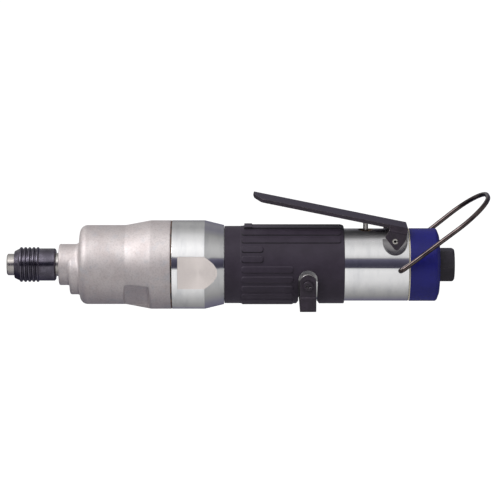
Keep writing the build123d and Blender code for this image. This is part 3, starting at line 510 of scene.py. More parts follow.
@dataclass(frozen=True)
class CastBody(Finish):
    """The front housing: a blasted and tumbled alloy casting.

    Attributes:
        colour: The skin's colour.
        warm: The colour of its warm clouds.
        cool: The colour of its cool clouds.
        pore: The colour in a pore.
        speckle: The colour of the fine dark speckle.
        worn: The colour of the worn edges.
    """

    name: str = "cast_body"
    colour: Colour = (0.765, 0.710, 0.705)
    warm: Colour = (0.69, 0.625, 0.620)
    cool: Colour = (0.66, 0.640, 0.660)
    pore: Colour = (0.22, 0.2, 0.19)
    speckle: Colour = (0.40, 0.36, 0.35)
    worn: Colour = (0.97, 0.95, 0.93)

    def layers(self, graph: Graph) -> Layers:
        """Matt metal with soft warm and cool clouds, fine grain and a few pores."""
        place = graph.place()
        clouds = graph.noise(place, 95.0, 5.0, 0.6)
        second = graph.noise(place.minus((0.3, 0.1, 0.2)), 210.0, 4.0, 0.6)
        grain = graph.noise(place, 2600.0, 3.0, 0.7)
        pores = graph.spots(place, 420.0, 0.075)
        speckle = graph.noise(place, 1150.0, 2.0, 0.6)
        wear = graph.edges(0.8 * MM) * graph.noise(place, 700.0).step(0.3, 0.6)
        colour = graph.mix(clouds.step(0.35, 0.7), self.colour, self.warm)
        colour = graph.mix(second.step(0.5, 0.8), colour, self.cool)
        colour = graph.mix(pores * 0.6, colour, self.pore)
        colour = graph.mix(speckle.step(0.44, 0.66) * 0.22, colour, self.speckle)
        colour = graph.mix(wear * 0.75, colour, self.worn)
        roughness = 0.46 + 0.16 * clouds + 0.12 * grain - 0.12 * wear
        return Layers(colour, roughness, 0.92, grain - pores, 0.03 * MM)


@dataclass(frozen=True)
class BlackSteel(Finish):
    """Blackened steel, worn to bright metal along its edges.

    Attributes:
        colour: The oxide's colour.
        bare: The colour where it is worn through.
        roughness: Its mean roughness.
        wear: How far the edges are worn, from 0 to 1.
        wear_reach: How far the wear reaches from an edge, in metres.
        lay: The way that the fine marks run.
        metallic: How much of the skin shines like metal.
        rubbed_way: The way that faces rubbed bare look; zero for none.
        rubbed_at: The middle of the rubbed place, along X and Z.
        rubbed_radius: How far from there it reaches.
    """

    colour: Colour = (0.028, 0.020, 0.031)
    bare: Colour = (0.42, 0.38, 0.35)
    roughness: float = 0.36
    wear: float = 0.6
    wear_reach: float = 0.35 * MM
    lay: Lay = Lay.ALL_WAYS
    metallic: float = 0.3
    rubbed_way: Point = (0.0, 0.0, 0.0)
    rubbed_at: tuple[float, float] = (0.0, 0.0)
    rubbed_radius: float = 1.0

    def layers(self, graph: Graph) -> Layers:
        """A dark skin with fine marks, scuffed edges and a few dots of wear."""
        place = graph.place()
        marks = graph.noise(place.scaled(self.lay.value), 1.0, 3.0, 0.6)
        clouds = graph.noise(place, 260.0, 4.0, 0.6)
        chips = graph.noise(place, 900.0, 3.0, 0.7).step(0.42, 0.58)
        worn = graph.edges(self.wear_reach) * chips * self.wear
        away = place.aside_of(*self.rubbed_at)
        rubbed = away.step(self.rubbed_radius, self.rubbed_radius * 0.85)
        rubbed = rubbed * graph.facing().dot(self.rubbed_way).step(0.25, 0.6)
        worn = worn.math("MAXIMUM", worn, rubbed * (0.7 + 0.3 * chips))
        colour = graph.mix(clouds.step(0.4, 0.75), self.colour, tuple(1.7 * c for c in self.colour))
        colour = graph.mix(worn, colour, self.bare)
        roughness = self.roughness + 0.16 * (clouds - 0.5) + 0.12 * (marks - 0.5) - 0.1 * worn
        metallic = self.metallic + (1.0 - self.metallic) * worn
        return Layers(colour, roughness, metallic, marks, 0.012 * MM)


@dataclass(frozen=True)
class Moulded(Finish):
    """Moulded rubber or plastic.

    Attributes:
        colour: The material's colour.
        bloom: The paler colour that clouds it.
        roughness: Its mean roughness.
        grain: The grain's features per metre.
        depth: The grain's depth in metres.
        rub: The colour of rubbed edges.
        sheen: The weight of the soft sheen.
        gloss: How strong its mirror-like part is; 0.5 is plain plastic.
    """

    colour: Colour = (0.028, 0.019, 0.034)
    bloom: Colour = (0.039, 0.028, 0.047)
    roughness: float = 0.6
    grain: float = 4200.0
    depth: float = 0.025 * MM
    rub: Colour = (0.10, 0.09, 0.11)
    sheen: float = 0.0
    gloss: float = 0.35

    def layers(self, graph: Graph) -> Layers:
        """A soft even colour, clouded a little, with a fine moulded grain."""
        place = graph.place()
        clouds = graph.noise(place, 130.0, 4.0, 0.6)
        grain = graph.noise(place, self.grain, 2.0, 0.6)
        rubbed = graph.edges(0.4 * MM) * graph.noise(place, 600.0).step(0.35, 0.65)
        colour = graph.mix(clouds.step(0.3, 0.75), self.colour, self.bloom)
        colour = graph.mix(rubbed * 0.6, colour, self.rub)
        roughness = self.roughness + 0.14 * (clouds - 0.5) + 0.1 * (grain - 0.5)
        plain = {"Sheen Weight": self.sheen, "Sheen Roughness": 0.4, "Specular IOR Level": self.gloss}
        return Layers(colour, roughness, 0.0, grain, self.depth, plain)


@dataclass(frozen=True)
class RibbedRubber(Moulded):
    """The grip's rubber, with painted light on the ribs' upper walls and painted shade on their lower ones.

    Attributes:
        dust: The painted light on the upper walls.
        shade: The painted shade on the lower walls.
    """

    dust: Colour = (0.060, 0.048, 0.070)
    shade: Colour = (0.006, 0.004, 0.008)

    def layers(self, graph: Graph) -> Layers:
        """Adds painted light on the ribs' upper walls and painted shade on their lower walls to the moulded
        surface.
        """
        layers = super().layers(graph)
        place = graph.place()
        # Painted light and shade: walls facing up are made lighter, walls facing down darker.
        outwards = place.part("Z") / place.scaled((0.0, 1.0, 1.0)).length()
        lean = graph.facing().part("Z") - outwards
        layers.colour = graph.mix(lean.step(0.08, 0.5) * 0.7, layers.colour, self.dust)
        layers.colour = graph.mix(lean.step(-0.08, -0.5) * 0.9, layers.colour, self.shade)
        return layers


@dataclass(frozen=True)
class Fibrous(Finish):
    """Felt, paper gasket or resin cloth.

    Attributes:
        colour: The fibres' colour.
        dark: The colour between them.
        fibre: Fibres per metre.
        depth: How deep they lie, in metres.
    """

    colour: Colour = (0.78, 0.73, 0.58)
    dark: Colour = (0.56, 0.50, 0.38)
    fibre: float = 2200.0
    depth: float = 0.06 * MM

    def layers(self, graph: Graph) -> Layers:
        """Crossed fibres of two tones."""
        place = graph.place()
        one = graph.noise(place.scaled((1.0, 0.25, 1.0)), self.fibre, 3.0, 0.7)
        two = graph.noise(place.scaled((0.3, 1.0, 0.3)), self.fibre, 3.0, 0.7)
        fibres = one.math("MAXIMUM", one, two)
        colour = graph.mix(fibres.step(0.4, 0.7), self.dark, self.colour)
        return Layers(colour, 0.82 + 0.1 * one, 0.0, fibres, self.depth)


@dataclass(frozen=True)
class OilySeal(Finish):
    """The brown seal at the seam, dark where oil and dust have stayed."""

    colour: Colour = (0.17, 0.095, 0.062)
    oil: Colour = (0.018, 0.013, 0.011)

    def layers(self, graph: Graph) -> Layers:
        """Brown rubber with irregular dark patches along it."""
        place = graph.place()
        patches = graph.noise(place, 330.0, 5.0, 0.7)
        grain = graph.noise(place, 2600.0, 2.0)
        colour = graph.mix(patches.step(0.42, 0.6), self.colour, self.oil)
        return Layers(colour, 0.5 - 0.25 * patches, 0.0, grain + patches, 0.06 * MM)


CAST = CastBody(edge=0.8 * MM)
POLISHED = PolishedBody(edge=0.2 * MM)
GRIP_RUBBER = RibbedRubber("grip_rubber_skin", sheen=0.12)
LEVER_BLACK = BlackSteel("lever_black", wear=0.75, wear_reach=0.45 * MM, rubbed_way=(-0.96, -0.2, -0.2),
                         rubbed_at=(130.0 * MM, 29.0 * MM), rubbed_radius=5.0 * MM)
YOKE_BLACK = BlackSteel("yoke_black", bare=(0.80, 0.77, 0.76), wear=0.4, roughness=0.42,
                        rubbed_way=(0.0, 0.0, 1.0), rubbed_at=(156.0 * MM, -4.0 * MM),
                        rubbed_radius=6.0 * MM)
SLEEVE_BLACK = BlackSteel("sleeve_black", colour=(0.118, 0.108, 0.136), roughness=0.2, wear=0.12,
                          lay=Lay.ROUND, metallic=1.0)
INLET_BLACK = BlackSteel("inlet_black", colour=(0.018, 0.014, 0.022), roughness=0.4, wear=0.25)
SCREW_BLACK = BlackSteel("screw_black", bare=(0.66, 0.62, 0.62), wear=0.9, wear_reach=0.3 * MM)
BAIL_WIRE = Machined("bail_wire", colour=(0.120, 0.094, 0.090), stain=(0.050, 0.038, 0.042), roughness=0.10,
                     lay=Lay.LENGTHWISE, depth=0.006 * MM, scuff=0.1)
BRIGHT = Machined("bright_steel_turned", colour=(0.60, 0.57, 0.55), stain=(0.42, 0.39, 0.37),
                  roughness=0.26)
SPRING = Machined("spring_steel_drawn", colour=(0.50, 0.48, 0.46), roughness=0.3, lay=Lay.ALL_WAYS)
BRONZE = Machined("bronze_bush", colour=(0.62, 0.42, 0.20), stain=(0.42, 0.26, 0.12), roughness=0.32)
IRON = Machined("ground_iron", colour=(0.36, 0.35, 0.34), stain=(0.26, 0.25, 0.24), roughness=0.38)
BLUE = Moulded("blue_cap_plastic", colour=(0.0055, 0.0055, 0.145), bloom=(0.008, 0.008, 0.18),
               roughness=0.42, grain=2600.0, depth=0.018 * MM, rub=(0.05, 0.05, 0.36))
BLACK_RUBBER = Moulded("seal_rubber_skin", colour=(0.02, 0.02, 0.02), bloom=(0.035, 0.034, 0.033))
RESIN = Fibrous("vane_resin_cloth", colour=(0.33, 0.19, 0.09), dark=(0.2, 0.11, 0.05), fibre=1500.0)
GASKET = Fibrous("cream_gasket_paper")
FELT = Fibrous("grey_felt", colour=(0.34, 0.33, 0.31), dark=(0.12, 0.115, 0.11), fibre=1100.0,
               depth=0.3 * MM)
SEAM = OilySeal("brown_seam_seal")


@dataclass
class Assembly:
    """Pieces that belong together.

    Attributes:
        frame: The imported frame, as the loader gives it.
        finishes: The finish of each solid node that stays as it is.
        broken_edges: The nodes whose sharp edges are broken, and how wide.
    """

    frame: dict
    finishes: dict[str, Finish] = field(default_factory=dict)
    broken_edges: dict[str, float] = field(default_factory=dict)

    def build(self) -> None:
        """Makes the new pieces; most assemblies have none."""

    def dress(self) -> None:
        """Gives each solid node its finish and breaks its sharp edges."""
        for node, finish in self.finishes.items():
            piece = self.frame["nodes"][node]
            piece.material_slots[0].material = finish.material()
            if node in self.broken_edges:
                self._break_edges(piece, self.broken_edges[node])
            LOG.info("%s: %s in %s", type(self).__name__, node, finish.name)

    @staticmethod
    def _break_edges(piece: bpy.types.Object, width: float) -> None:
        """Adds the modifiers that round a solid's sharp edges.

        Args:
            piece: The node's object, whose own mesh stays as it is.
            width: The width of the broken edge in metres.
        """
        weld = piece.modifiers.new("join_corners", "WELD")
        weld.merge_threshold = 0.002 * MM
        planar = piece.modifiers.new("join_flats", "DECIMATE")
        planar.decimate_type = "DISSOLVE"
        planar.angle_limit = math.radians(0.5)
        bevel = piece.modifiers.new("broken_edges", "BEVEL")
        bevel.width = width
        bevel.segments = 2
        bevel.angle_limit = math.radians(28.0)
        weighted = piece.modifiers.new("even_shading", "WEIGHTED_NORMAL")
        weighted.weight = 50


def add_piece(name: str, mesh: bmesh.types.BMesh, finish: Finish,
              body: Body | None = None) -> bpy.types.Object:
    """Turns a built mesh into a piece of the tool.

    Args:
        name: The piece's name.
        mesh: Its mesh, which is freed.
        finish: Its finish.
        body: The body that it rides on, or None if it goes between two.

    Returns:
        The new piece.
    """
    data = bpy.data.meshes.new(name)
    mesh.to_mesh(data)
    mesh.free()
    data.shade_smooth()
    data.set_sharp_from_angle(angle=SMOOTH_BELOW)
    data.materials.append(finish.material())
    piece = bpy.data.objects.new(name, data)
    bpy.context.scene.collection.objects.link(piece)
    if body is not None:
        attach(piece, body.value)
    LOG.info("new piece %s in %s", name, finish.name)
    return piece


def rounded(corners: list[tuple[float, ...]], steps: int = 6) -> list[tuple[float, float]]:
    """Rounds the corners of a flat outline.

    Args:
        corners: Each a place (u, v), or (u, v, radius) to be rounded.
        steps: Sides of the arc at each rounded corner.

    Returns:
        The outline's points, in order.
    """
    points = []
    for index, (u, v, *radius) in enumerate(corners):
        corner = Vector((u, v))
        if not radius:
            points.append((u, v))
            continue
        back = (Vector(corners[index - 1][:2]) - corner).normalized()
        ahead = (Vector(corners[(index + 1) % len(corners)][:2]) - corner).normalized()
        half = 0.5 * back.angle(ahead)
        centre = corner + (back + ahead).normalized() * (radius[0] / math.sin(half))
        first = corner + back * (radius[0] / math.tan(half)) - centre
        last = corner + ahead * (radius[0] / math.tan(half)) - centre
        turn = math.atan2(first.cross(last), first.dot(last))
        for step in range(steps + 1):
            angle = math.atan2(first.y, first.x) + turn * step / steps
            points.append((centre.x + radius[0] * math.cos(angle), centre.y + radius[0] * math.sin(angle)))
    return points


def prism(outline: list[tuple[float, float]], low: float, high: float,
          point: Callable[[float, float, float], Vector]) -> bmesh.types.BMesh:
    """Makes a straight solid over a flat outline.

    Args:
        outline: The outline's points (u, v).
        low: Where the solid starts across the outline's plane.
        high: Where it ends.
        point: Turns a place (u, v, w) into a point of the frame.

    Returns:
        The closed mesh.
    """
    mesh = bmesh.new()
    floor, roof = ([mesh.verts.new(point(u, v, w)) for u, v in outline] for w in (low, high))
    mesh.faces.new(floor)
    mesh.faces.new(roof)
    for index in range(len(outline)):
        mesh.faces.new((floor[index - 1], floor[index], roof[index], roof[index - 1]))
    bmesh.ops.recalc_face_normals(mesh, faces=mesh.faces)
    return mesh


def carved(base: bmesh.types.BMesh, *cuts: tuple[str, bmesh.types.BMesh]) -> bmesh.types.BMesh:
    """Cuts, joins or trims a solid with others.

    Args:
        base: The first solid, which is freed.
        cuts: Each a boolean operation and the solid for it, which is freed.

    Returns:
        The resulting solid.
    """
    held = []
    for mesh in (base, *(mesh for _, mesh in cuts)):
        data = bpy.data.meshes.new("blank")
        mesh.to_mesh(data)
        mesh.free()
        held.append(bpy.data.objects.new("blank", data))
        bpy.context.scene.collection.objects.link(held[-1])
    for (operation, _), tool in zip(cuts, held[1:]):
        modifier = held[0].modifiers.new("cut", "BOOLEAN")
        modifier.operation = operation
        modifier.solver = "EXACT"
        modifier.object = tool
    shaped = held[0].evaluated_get(bpy.context.evaluated_depsgraph_get())
    result = bmesh.new()
    result.from_mesh(shaped.to_mesh())
    shaped.to_mesh_clear()
    for blank in held:
        data = blank.data
        bpy.data.objects.remove(blank)
        bpy.data.meshes.remove(data)
    return result


def swept(sections: list[list[Point]], ring: bool = False) -> bmesh.types.BMesh:
    """Joins sections with equal numbers of points, one after the other.

    Args:
        sections: The points of each section, in the same order round it.
        ring: Joins the last section to the first, instead of closing both ends.

    Returns:
        The closed mesh.
    """
    mesh = bmesh.new()
    loops = [[mesh.verts.new(point) for point in section] for section in sections]
    for index in range(0 if ring else 1, len(loops)):
        back, ahead = loops[index - 1], loops[index]
        for corner in range(len(ahead)):
            mesh.faces.new((back[corner - 1], back[corner], ahead[corner], ahead[corner - 1]))
    if not ring:
        mesh.faces.new(loops[0])
        mesh.faces.new(loops[-1])
    bmesh.ops.recalc_face_normals(mesh, faces=mesh.faces)
    return mesh


@dataclass(frozen=True)
class Spring:
    """A coil spring that presses between two bodies.

    Attributes:
        node: The solid that it stands for.
        foot: The middle of its foot.
        way: The direction that it presses in.
        length: Its length at rest.
        radius: The radius of the wire's centre line.
        wire: The wire's thickness.
        turns: How many turns it has.
        steps: Sides of one turn.
        sides: Sides of the wire.
    """

    node: str
    foot: Point
    way: Point
    length: float
    radius: float
    wire: float
    turns: int
    steps: int = 40
    sides: int = 8

    def fit(self, held: Body, moved: Body) -> None:
        """Makes the spring in place of its solid, on neither body.

        Args:
            held: The body that its foot stands on; not used.
            moved: The body that its head presses on; not used.
        """
        way, foot = Vector(self.way), Vector(self.foot)
        aside = way.orthogonal().normalized()
        third = way.cross(aside)
        sections = []
        last = self.turns * self.steps
        for step in range(last + 1):
            angle = math.tau * step / self.steps
            out = aside * math.cos(angle) + third * math.sin(angle)
            rise = 0.5 * self.wire + (self.length - self.wire) * step / last
            section = []
            for side in range(self.sides):
                turn = math.tau * side / self.sides
                spread = out * math.cos(turn) + way * math.sin(turn)
                section.append(foot + way * rise + out * self.radius + spread * (0.5 * self.wire))
            sections.append(section)
        piece = add_piece(self.node + "_coil", swept(sections), SPRING)
        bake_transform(piece)
        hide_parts(self.node)


@dataclass
class Chuck(Assembly):
    """The spindle's nose and the quick-change chuck on it.

    Attributes:
        spring: The spring behind the sleeve.
    """

    spring: Spring = Spring(
        "chuck_spring", foot=(5.9 * MM, 0.0, 0.0), way=(1.0, 0.0, 0.0),
        length=5.3 * MM, radius=6.1 * MM, wire=0.55 * MM, turns=3,
    )
    finishes: dict[str, Finish] = field(default_factory=lambda: {
        "spindle": BRIGHT,
        "lock_ball": BRIGHT,
        "snap_ring": SPRING,
        "spring_washer": SPRING,
        "chuck_sleeve": SLEEVE_BLACK,
    })
    broken_edges: dict[str, float] = field(default_factory=lambda: {"chuck_sleeve": 0.28 * MM})

    def build(self) -> None:
        """Makes the sleeve's spring."""
        self.spring.fit(Body.SPINDLE, Body.SLEEVE)


@dataclass
class FrontEnd(Assembly):
    """The front housing with its seal, bush and seam."""

    finishes: dict[str, Finish] = field(default_factory=lambda: {
        "front_housing": CAST,
        "nose_seal": BLACK_RUBBER,
        "nose_bush": BRONZE,
        "seam_ring": SEAM,
    })


@dataclass
class PulseUnit(Assembly):
    """The oil-filled pulse unit inside the front housing."""

    finishes: dict[str, Finish] = field(default_factory=lambda: {
        "pulse_case": BRIGHT,
        "pulse_front_plate": BRIGHT,
        "pulse_liner": BRIGHT,
        "pulse_back_plate": BRIGHT,
        "pulse_case_cap": BRIGHT,
        "relief_screw": SCREW_BLACK,
        "pulse_blades": BRIGHT,
        "blade_springs": SPRING,
    })


@dataclass
class Motor(Assembly):
    """The vane motor and the housing round it."""

    finishes: dict[str, Finish] = field(default_factory=lambda: {
        "motor_housing": POLISHED,
        "motor_lock_ring": BRIGHT,
        "motor_front_plate": IRON,
        "motor_front_bearing": BRIGHT,
        "motor_cylinder": IRON,
        "motor_rear_plate": IRON,
        "motor_rear_bearing": BRIGHT,
        "rotor": BRIGHT,
        "rotor_vanes": RESIN,
    })


@dataclass
class Grip(Assembly):
    """The rubber grip: a smooth ring, then a ribbed field with a flat spine on top.

    Attributes:
        start: Where the grip starts along the axis.
        end: Where it ends.
        bore: The radius of its bore.
        ring_end: Where the smooth ring ends.
        ring_radius: The ring's outer radius.
        field_radius: The field's radius between the ribs.
        rib_height: How far the ribs stand out.
        rib_half: A rib's half width.
        rib_round: The radius of its corners.
        rib_slope: The width of its sloping wall.
        rib_start: Where all the ribs start.
        rib_ends: Where the long, the short and the middle ones end.
        rib_first: The angle of the first rib above the side, in degrees.
        rib_pitch: The angle between two ribs.
        short_climb: Ribs above the side and below this angle are short.
        spine_half: The spine's half width.
        spine_top: The height of its flat top.
        spine_end: Where its top starts to fall.
        end_drop: How far the spine falls at the grip's end.
        pad: Where the pad under the lever's tip starts and ends.
        pad_half: The pad's half width.
        pad_top: The height of its top.
        notch: The middle of the notch for the reverse yoke, along X and Z.
        notch_half: The notch's half width.
        foot_half: Its half width at the bottom.
        foot_rise: How far above the bottom it starts to widen.
    """

    start: float = 112.9 * MM
    end: float = 174.9 * MM
    bore: float = 18.85 * MM
    ring_end: float = 121.4 * MM
    ring_radius: float = 20.1 * MM
    field_radius: float = 20.2 * MM
    rib_height: float = 0.5 * MM
    rib_half: float = 1.6 * MM
    rib_round: float = 1.2 * MM
    rib_slope: float = 0.4 * MM
    rib_start: float = 121.9 * MM
    rib_ends: Point = (173.0 * MM, 133.0 * MM, 148.4 * MM)
    rib_first: float = 4.0
    rib_pitch: float = 15.0
    short_climb: float = 40.0
    spine_half: float = 4.6 * MM
    spine_top: float = 20.5 * MM
    spine_end: float = 172.2 * MM
    end_drop: float = 1.3 * MM
    pad: tuple[float, float] = (123.3 * MM, 127.2 * MM)
    pad_half: float = 5.0 * MM
    pad_top: float = 20.9 * MM
    notch: tuple[float, float] = (156.0 * MM, -3.9 * MM)
    notch_half: float = 4.9 * MM
    foot_half: float = 6.3 * MM
    foot_rise: float = 3.5 * MM

    # Where the skin is sampled at the spine, in degrees above the side
    SPINE_SAMPLES = (90.0, 84.0, 79.0, 77.6, 77.2, 76.8, 76.2, 75.6, 75.0, 74.0, 70.0)
    # Where it is sampled across a rib, in millimetres from the rib's middle
    RIB_SAMPLES = (
        -2.3, -1.95, -1.75, -1.6, -1.45, -1.25, -0.8, 0.0, 0.8, 1.25, 1.45, 1.6, 1.75, 1.95, 2.3,
    )

    @staticmethod
    def _ease(value: float, low: float, high: float) -> float:
        """Rises smoothly from 0 at low to 1 at high."""
        share = min(1.0, max(0.0, (value - low) / (high - low)))
        return share * share * (3.0 - 2.0 * share)

    def _ribs(self) -> list[tuple[float, float]]:
        """The ribs from the top down one side, each an angle in degrees and its end along X."""
        ribs = []
        angle = self.rib_first + 4 * self.rib_pitch
        while angle > -90.0:
            long, short, middle = self.rib_ends
            above = short if angle < self.short_climb else long
            ribs.append((angle, above if angle > self.rib_first else middle))
            angle -= self.rib_pitch
        return ribs

    def _angles(self) -> list[float]:
        """Where the skin is sampled from the top down one side, in radians above the side."""
        marks = [*self.SPINE_SAMPLES, -90.0]
        for angle, _ in self._ribs():
            for offset in self.RIB_SAMPLES:
                marks.append(angle + math.degrees(offset * MM / self.field_radius))
        return [math.radians(mark) for mark in sorted(set(marks), reverse=True) if mark >= -90.0]

    def _places(self) -> list[float]:
        """Where the skin is sampled along the axis, closely at every step and rib end."""
        places = [self.start + share * MM for share in (0.0, 0.05, 0.2, 0.4, 0.7)]
        places += [self.end - share * MM for share in (0.0, 0.06, 0.2, 0.4)]
        places += [self.start + 2.0 * MM * step for step in range(1, 31)]
        for middle, reach in (
            (self.ring_end, 0.5), (self.rib_start + 0.7 * MM, 1.3), (self.pad[0], 0.5), (self.pad[1], 0.5),
            (self.rib_ends[1], 1.6), (self.rib_ends[2], 1.6), (self.rib_ends[0], 1.6),
        ):
            count = round(reach / 0.16)
            places += [middle + reach * MM * step / count for step in range(-count, count + 1)]
        kept = [self.start]
        for place in sorted(places):
            if place - kept[-1] > 0.04 * MM and place <= self.end:
                kept.append(place)
        kept[-1] = self.end
        return kept

    def _radius(self, x: float, angle: float) -> float:
        """How far the skin is from the axis.

        Args:
            x: The place along the axis.
            angle: The angle above the side, in radians.

        Returns:
            The radius there.
        """
        in_field = self._ease(x, self.ring_end - 0.2 * MM, self.ring_end + 0.2 * MM)
        radius = self.ring_radius + in_field * (self.field_radius - self.ring_radius)
        inset = self.rib_half - self.rib_round
        for centre, end in self._ribs():
            aside = abs(angle - math.radians(centre)) * self.field_radius
            if aside > 2.0 * self.rib_half:
                continue
            half = 0.5 * (end - self.rib_start)
            beyond = max(0.0, abs(x - self.rib_start - half) - half + self.rib_round)
            gap = math.hypot(beyond, max(0.0, aside - inset)) - self.rib_round
            radius += self.rib_height * (1.0 - self._ease(gap, -0.5 * self.rib_slope, 0.5 * self.rib_slope))
        if angle > math.radians(60.0):
            on_pad = self._ease(x, self.pad[0] - 0.25 * MM, self.pad[0] + 0.1 * MM)
            if x > self.pad[1] - 1.0 * MM:
                on_pad *= self._ease(x, self.pad[1] + 0.25 * MM, self.pad[1] - 0.1 * MM)
            top = self.spine_top + on_pad * (self.pad_top - self.spine_top)
            half = self.spine_half + on_pad * (self.pad_half - self.spine_half)
            flat = top / math.sin(angle)
            aside = flat * math.cos(angle)
            raised = self._ease(aside, half + 0.35 * MM, half) if aside > half else 1.0
            raised *= self._ease(x, self.pad[0] - 0.3 * MM, self.pad[0])
            radius += raised * (flat - radius)
        drop = self.end_drop * self._ease(angle, 0.6, 1.25)
        fall = max(0.0, x - self.spine_end) / (self.end - self.spine_end)
        radius -= drop * (1.0 - math.sqrt(max(0.0, 1.0 - fall * fall)))
        edge = min(x - self.start, self.end - x)
        round_off = 0.4 * MM
        if edge < round_off:
            radius -= round_off - math.sqrt(round_off ** 2 - (round_off - edge) ** 2)
        return radius

    @staticmethod
    def _point(x: float, radius: float, angle: float) -> Point:
        """A point at a radius from the axis and an angle above the side."""
        return (x, -radius * math.cos(angle), radius * math.sin(angle))

    def _skin(self) -> bmesh.types.BMesh:
        """Builds the sleeve as a closed mesh, without the notch."""
        down = self._angles()
        turn = down + [-math.pi - angle for angle in down[-2:0:-1]]
        sections = []
        for x in self._places():
            radii = [self._radius(x, angle) for angle in down]
            radii += radii[-2:0:-1]
            sections.append([self._point(x, radius, angle) for radius, angle in zip(radii, turn)])
        for x in (self.end, self.start):
            sections.append([self._point(x, self.bore, angle) for angle in turn])
        return swept(sections, ring=True)

    def _notch(self) -> bmesh.types.BMesh:
        """Builds the solid that cuts the yoke's notch on both sides."""
        x, z = self.notch
        low = -self.field_radius
        outline = []
        for step in range(25):
            angle = math.pi * step / 24
            outline.append((x - self.notch_half * math.cos(angle), z + self.notch_half * math.sin(angle)))
        outline += [(x + self.notch_half, low + self.foot_rise), (x + self.foot_half, low)]
        outline += [(x + self.foot_half, low - 3.0 * MM), (x - self.foot_half, low - 3.0 * MM)]
        outline += [(x - self.foot_half, low), (x - self.notch_half, low + self.foot_rise)]
        reach = self.field_radius + 4.0 * MM
        return prism(outline, -reach, reach, lambda u, v, w: Vector((u, w, v)))

    def build(self) -> None:
        """Makes the grip's skin in place of the plain solid."""
        skin = carved(self._skin(), ("DIFFERENCE", self._notch()))
        sleeve = add_piece("grip_sleeve", skin, GRIP_RUBBER, Body.HOUSING)
        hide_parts("grip")


@dataclass
class ReverseValve(Assembly):
    """The reverse spool and the yoke that moves it."""

    finishes: dict[str, Finish] = field(default_factory=lambda: {
        "reverse_spool": BRIGHT,
        "spool_seals": BLACK_RUBBER,
        "reverse_yoke": YOKE_BLACK,
        "yoke_screws": SCREW_BLACK,
    })
    broken_edges: dict[str, float] = field(default_factory=lambda: {
        "reverse_yoke": 0.3 * MM,
        "yoke_screws": 0.1 * MM,
    })


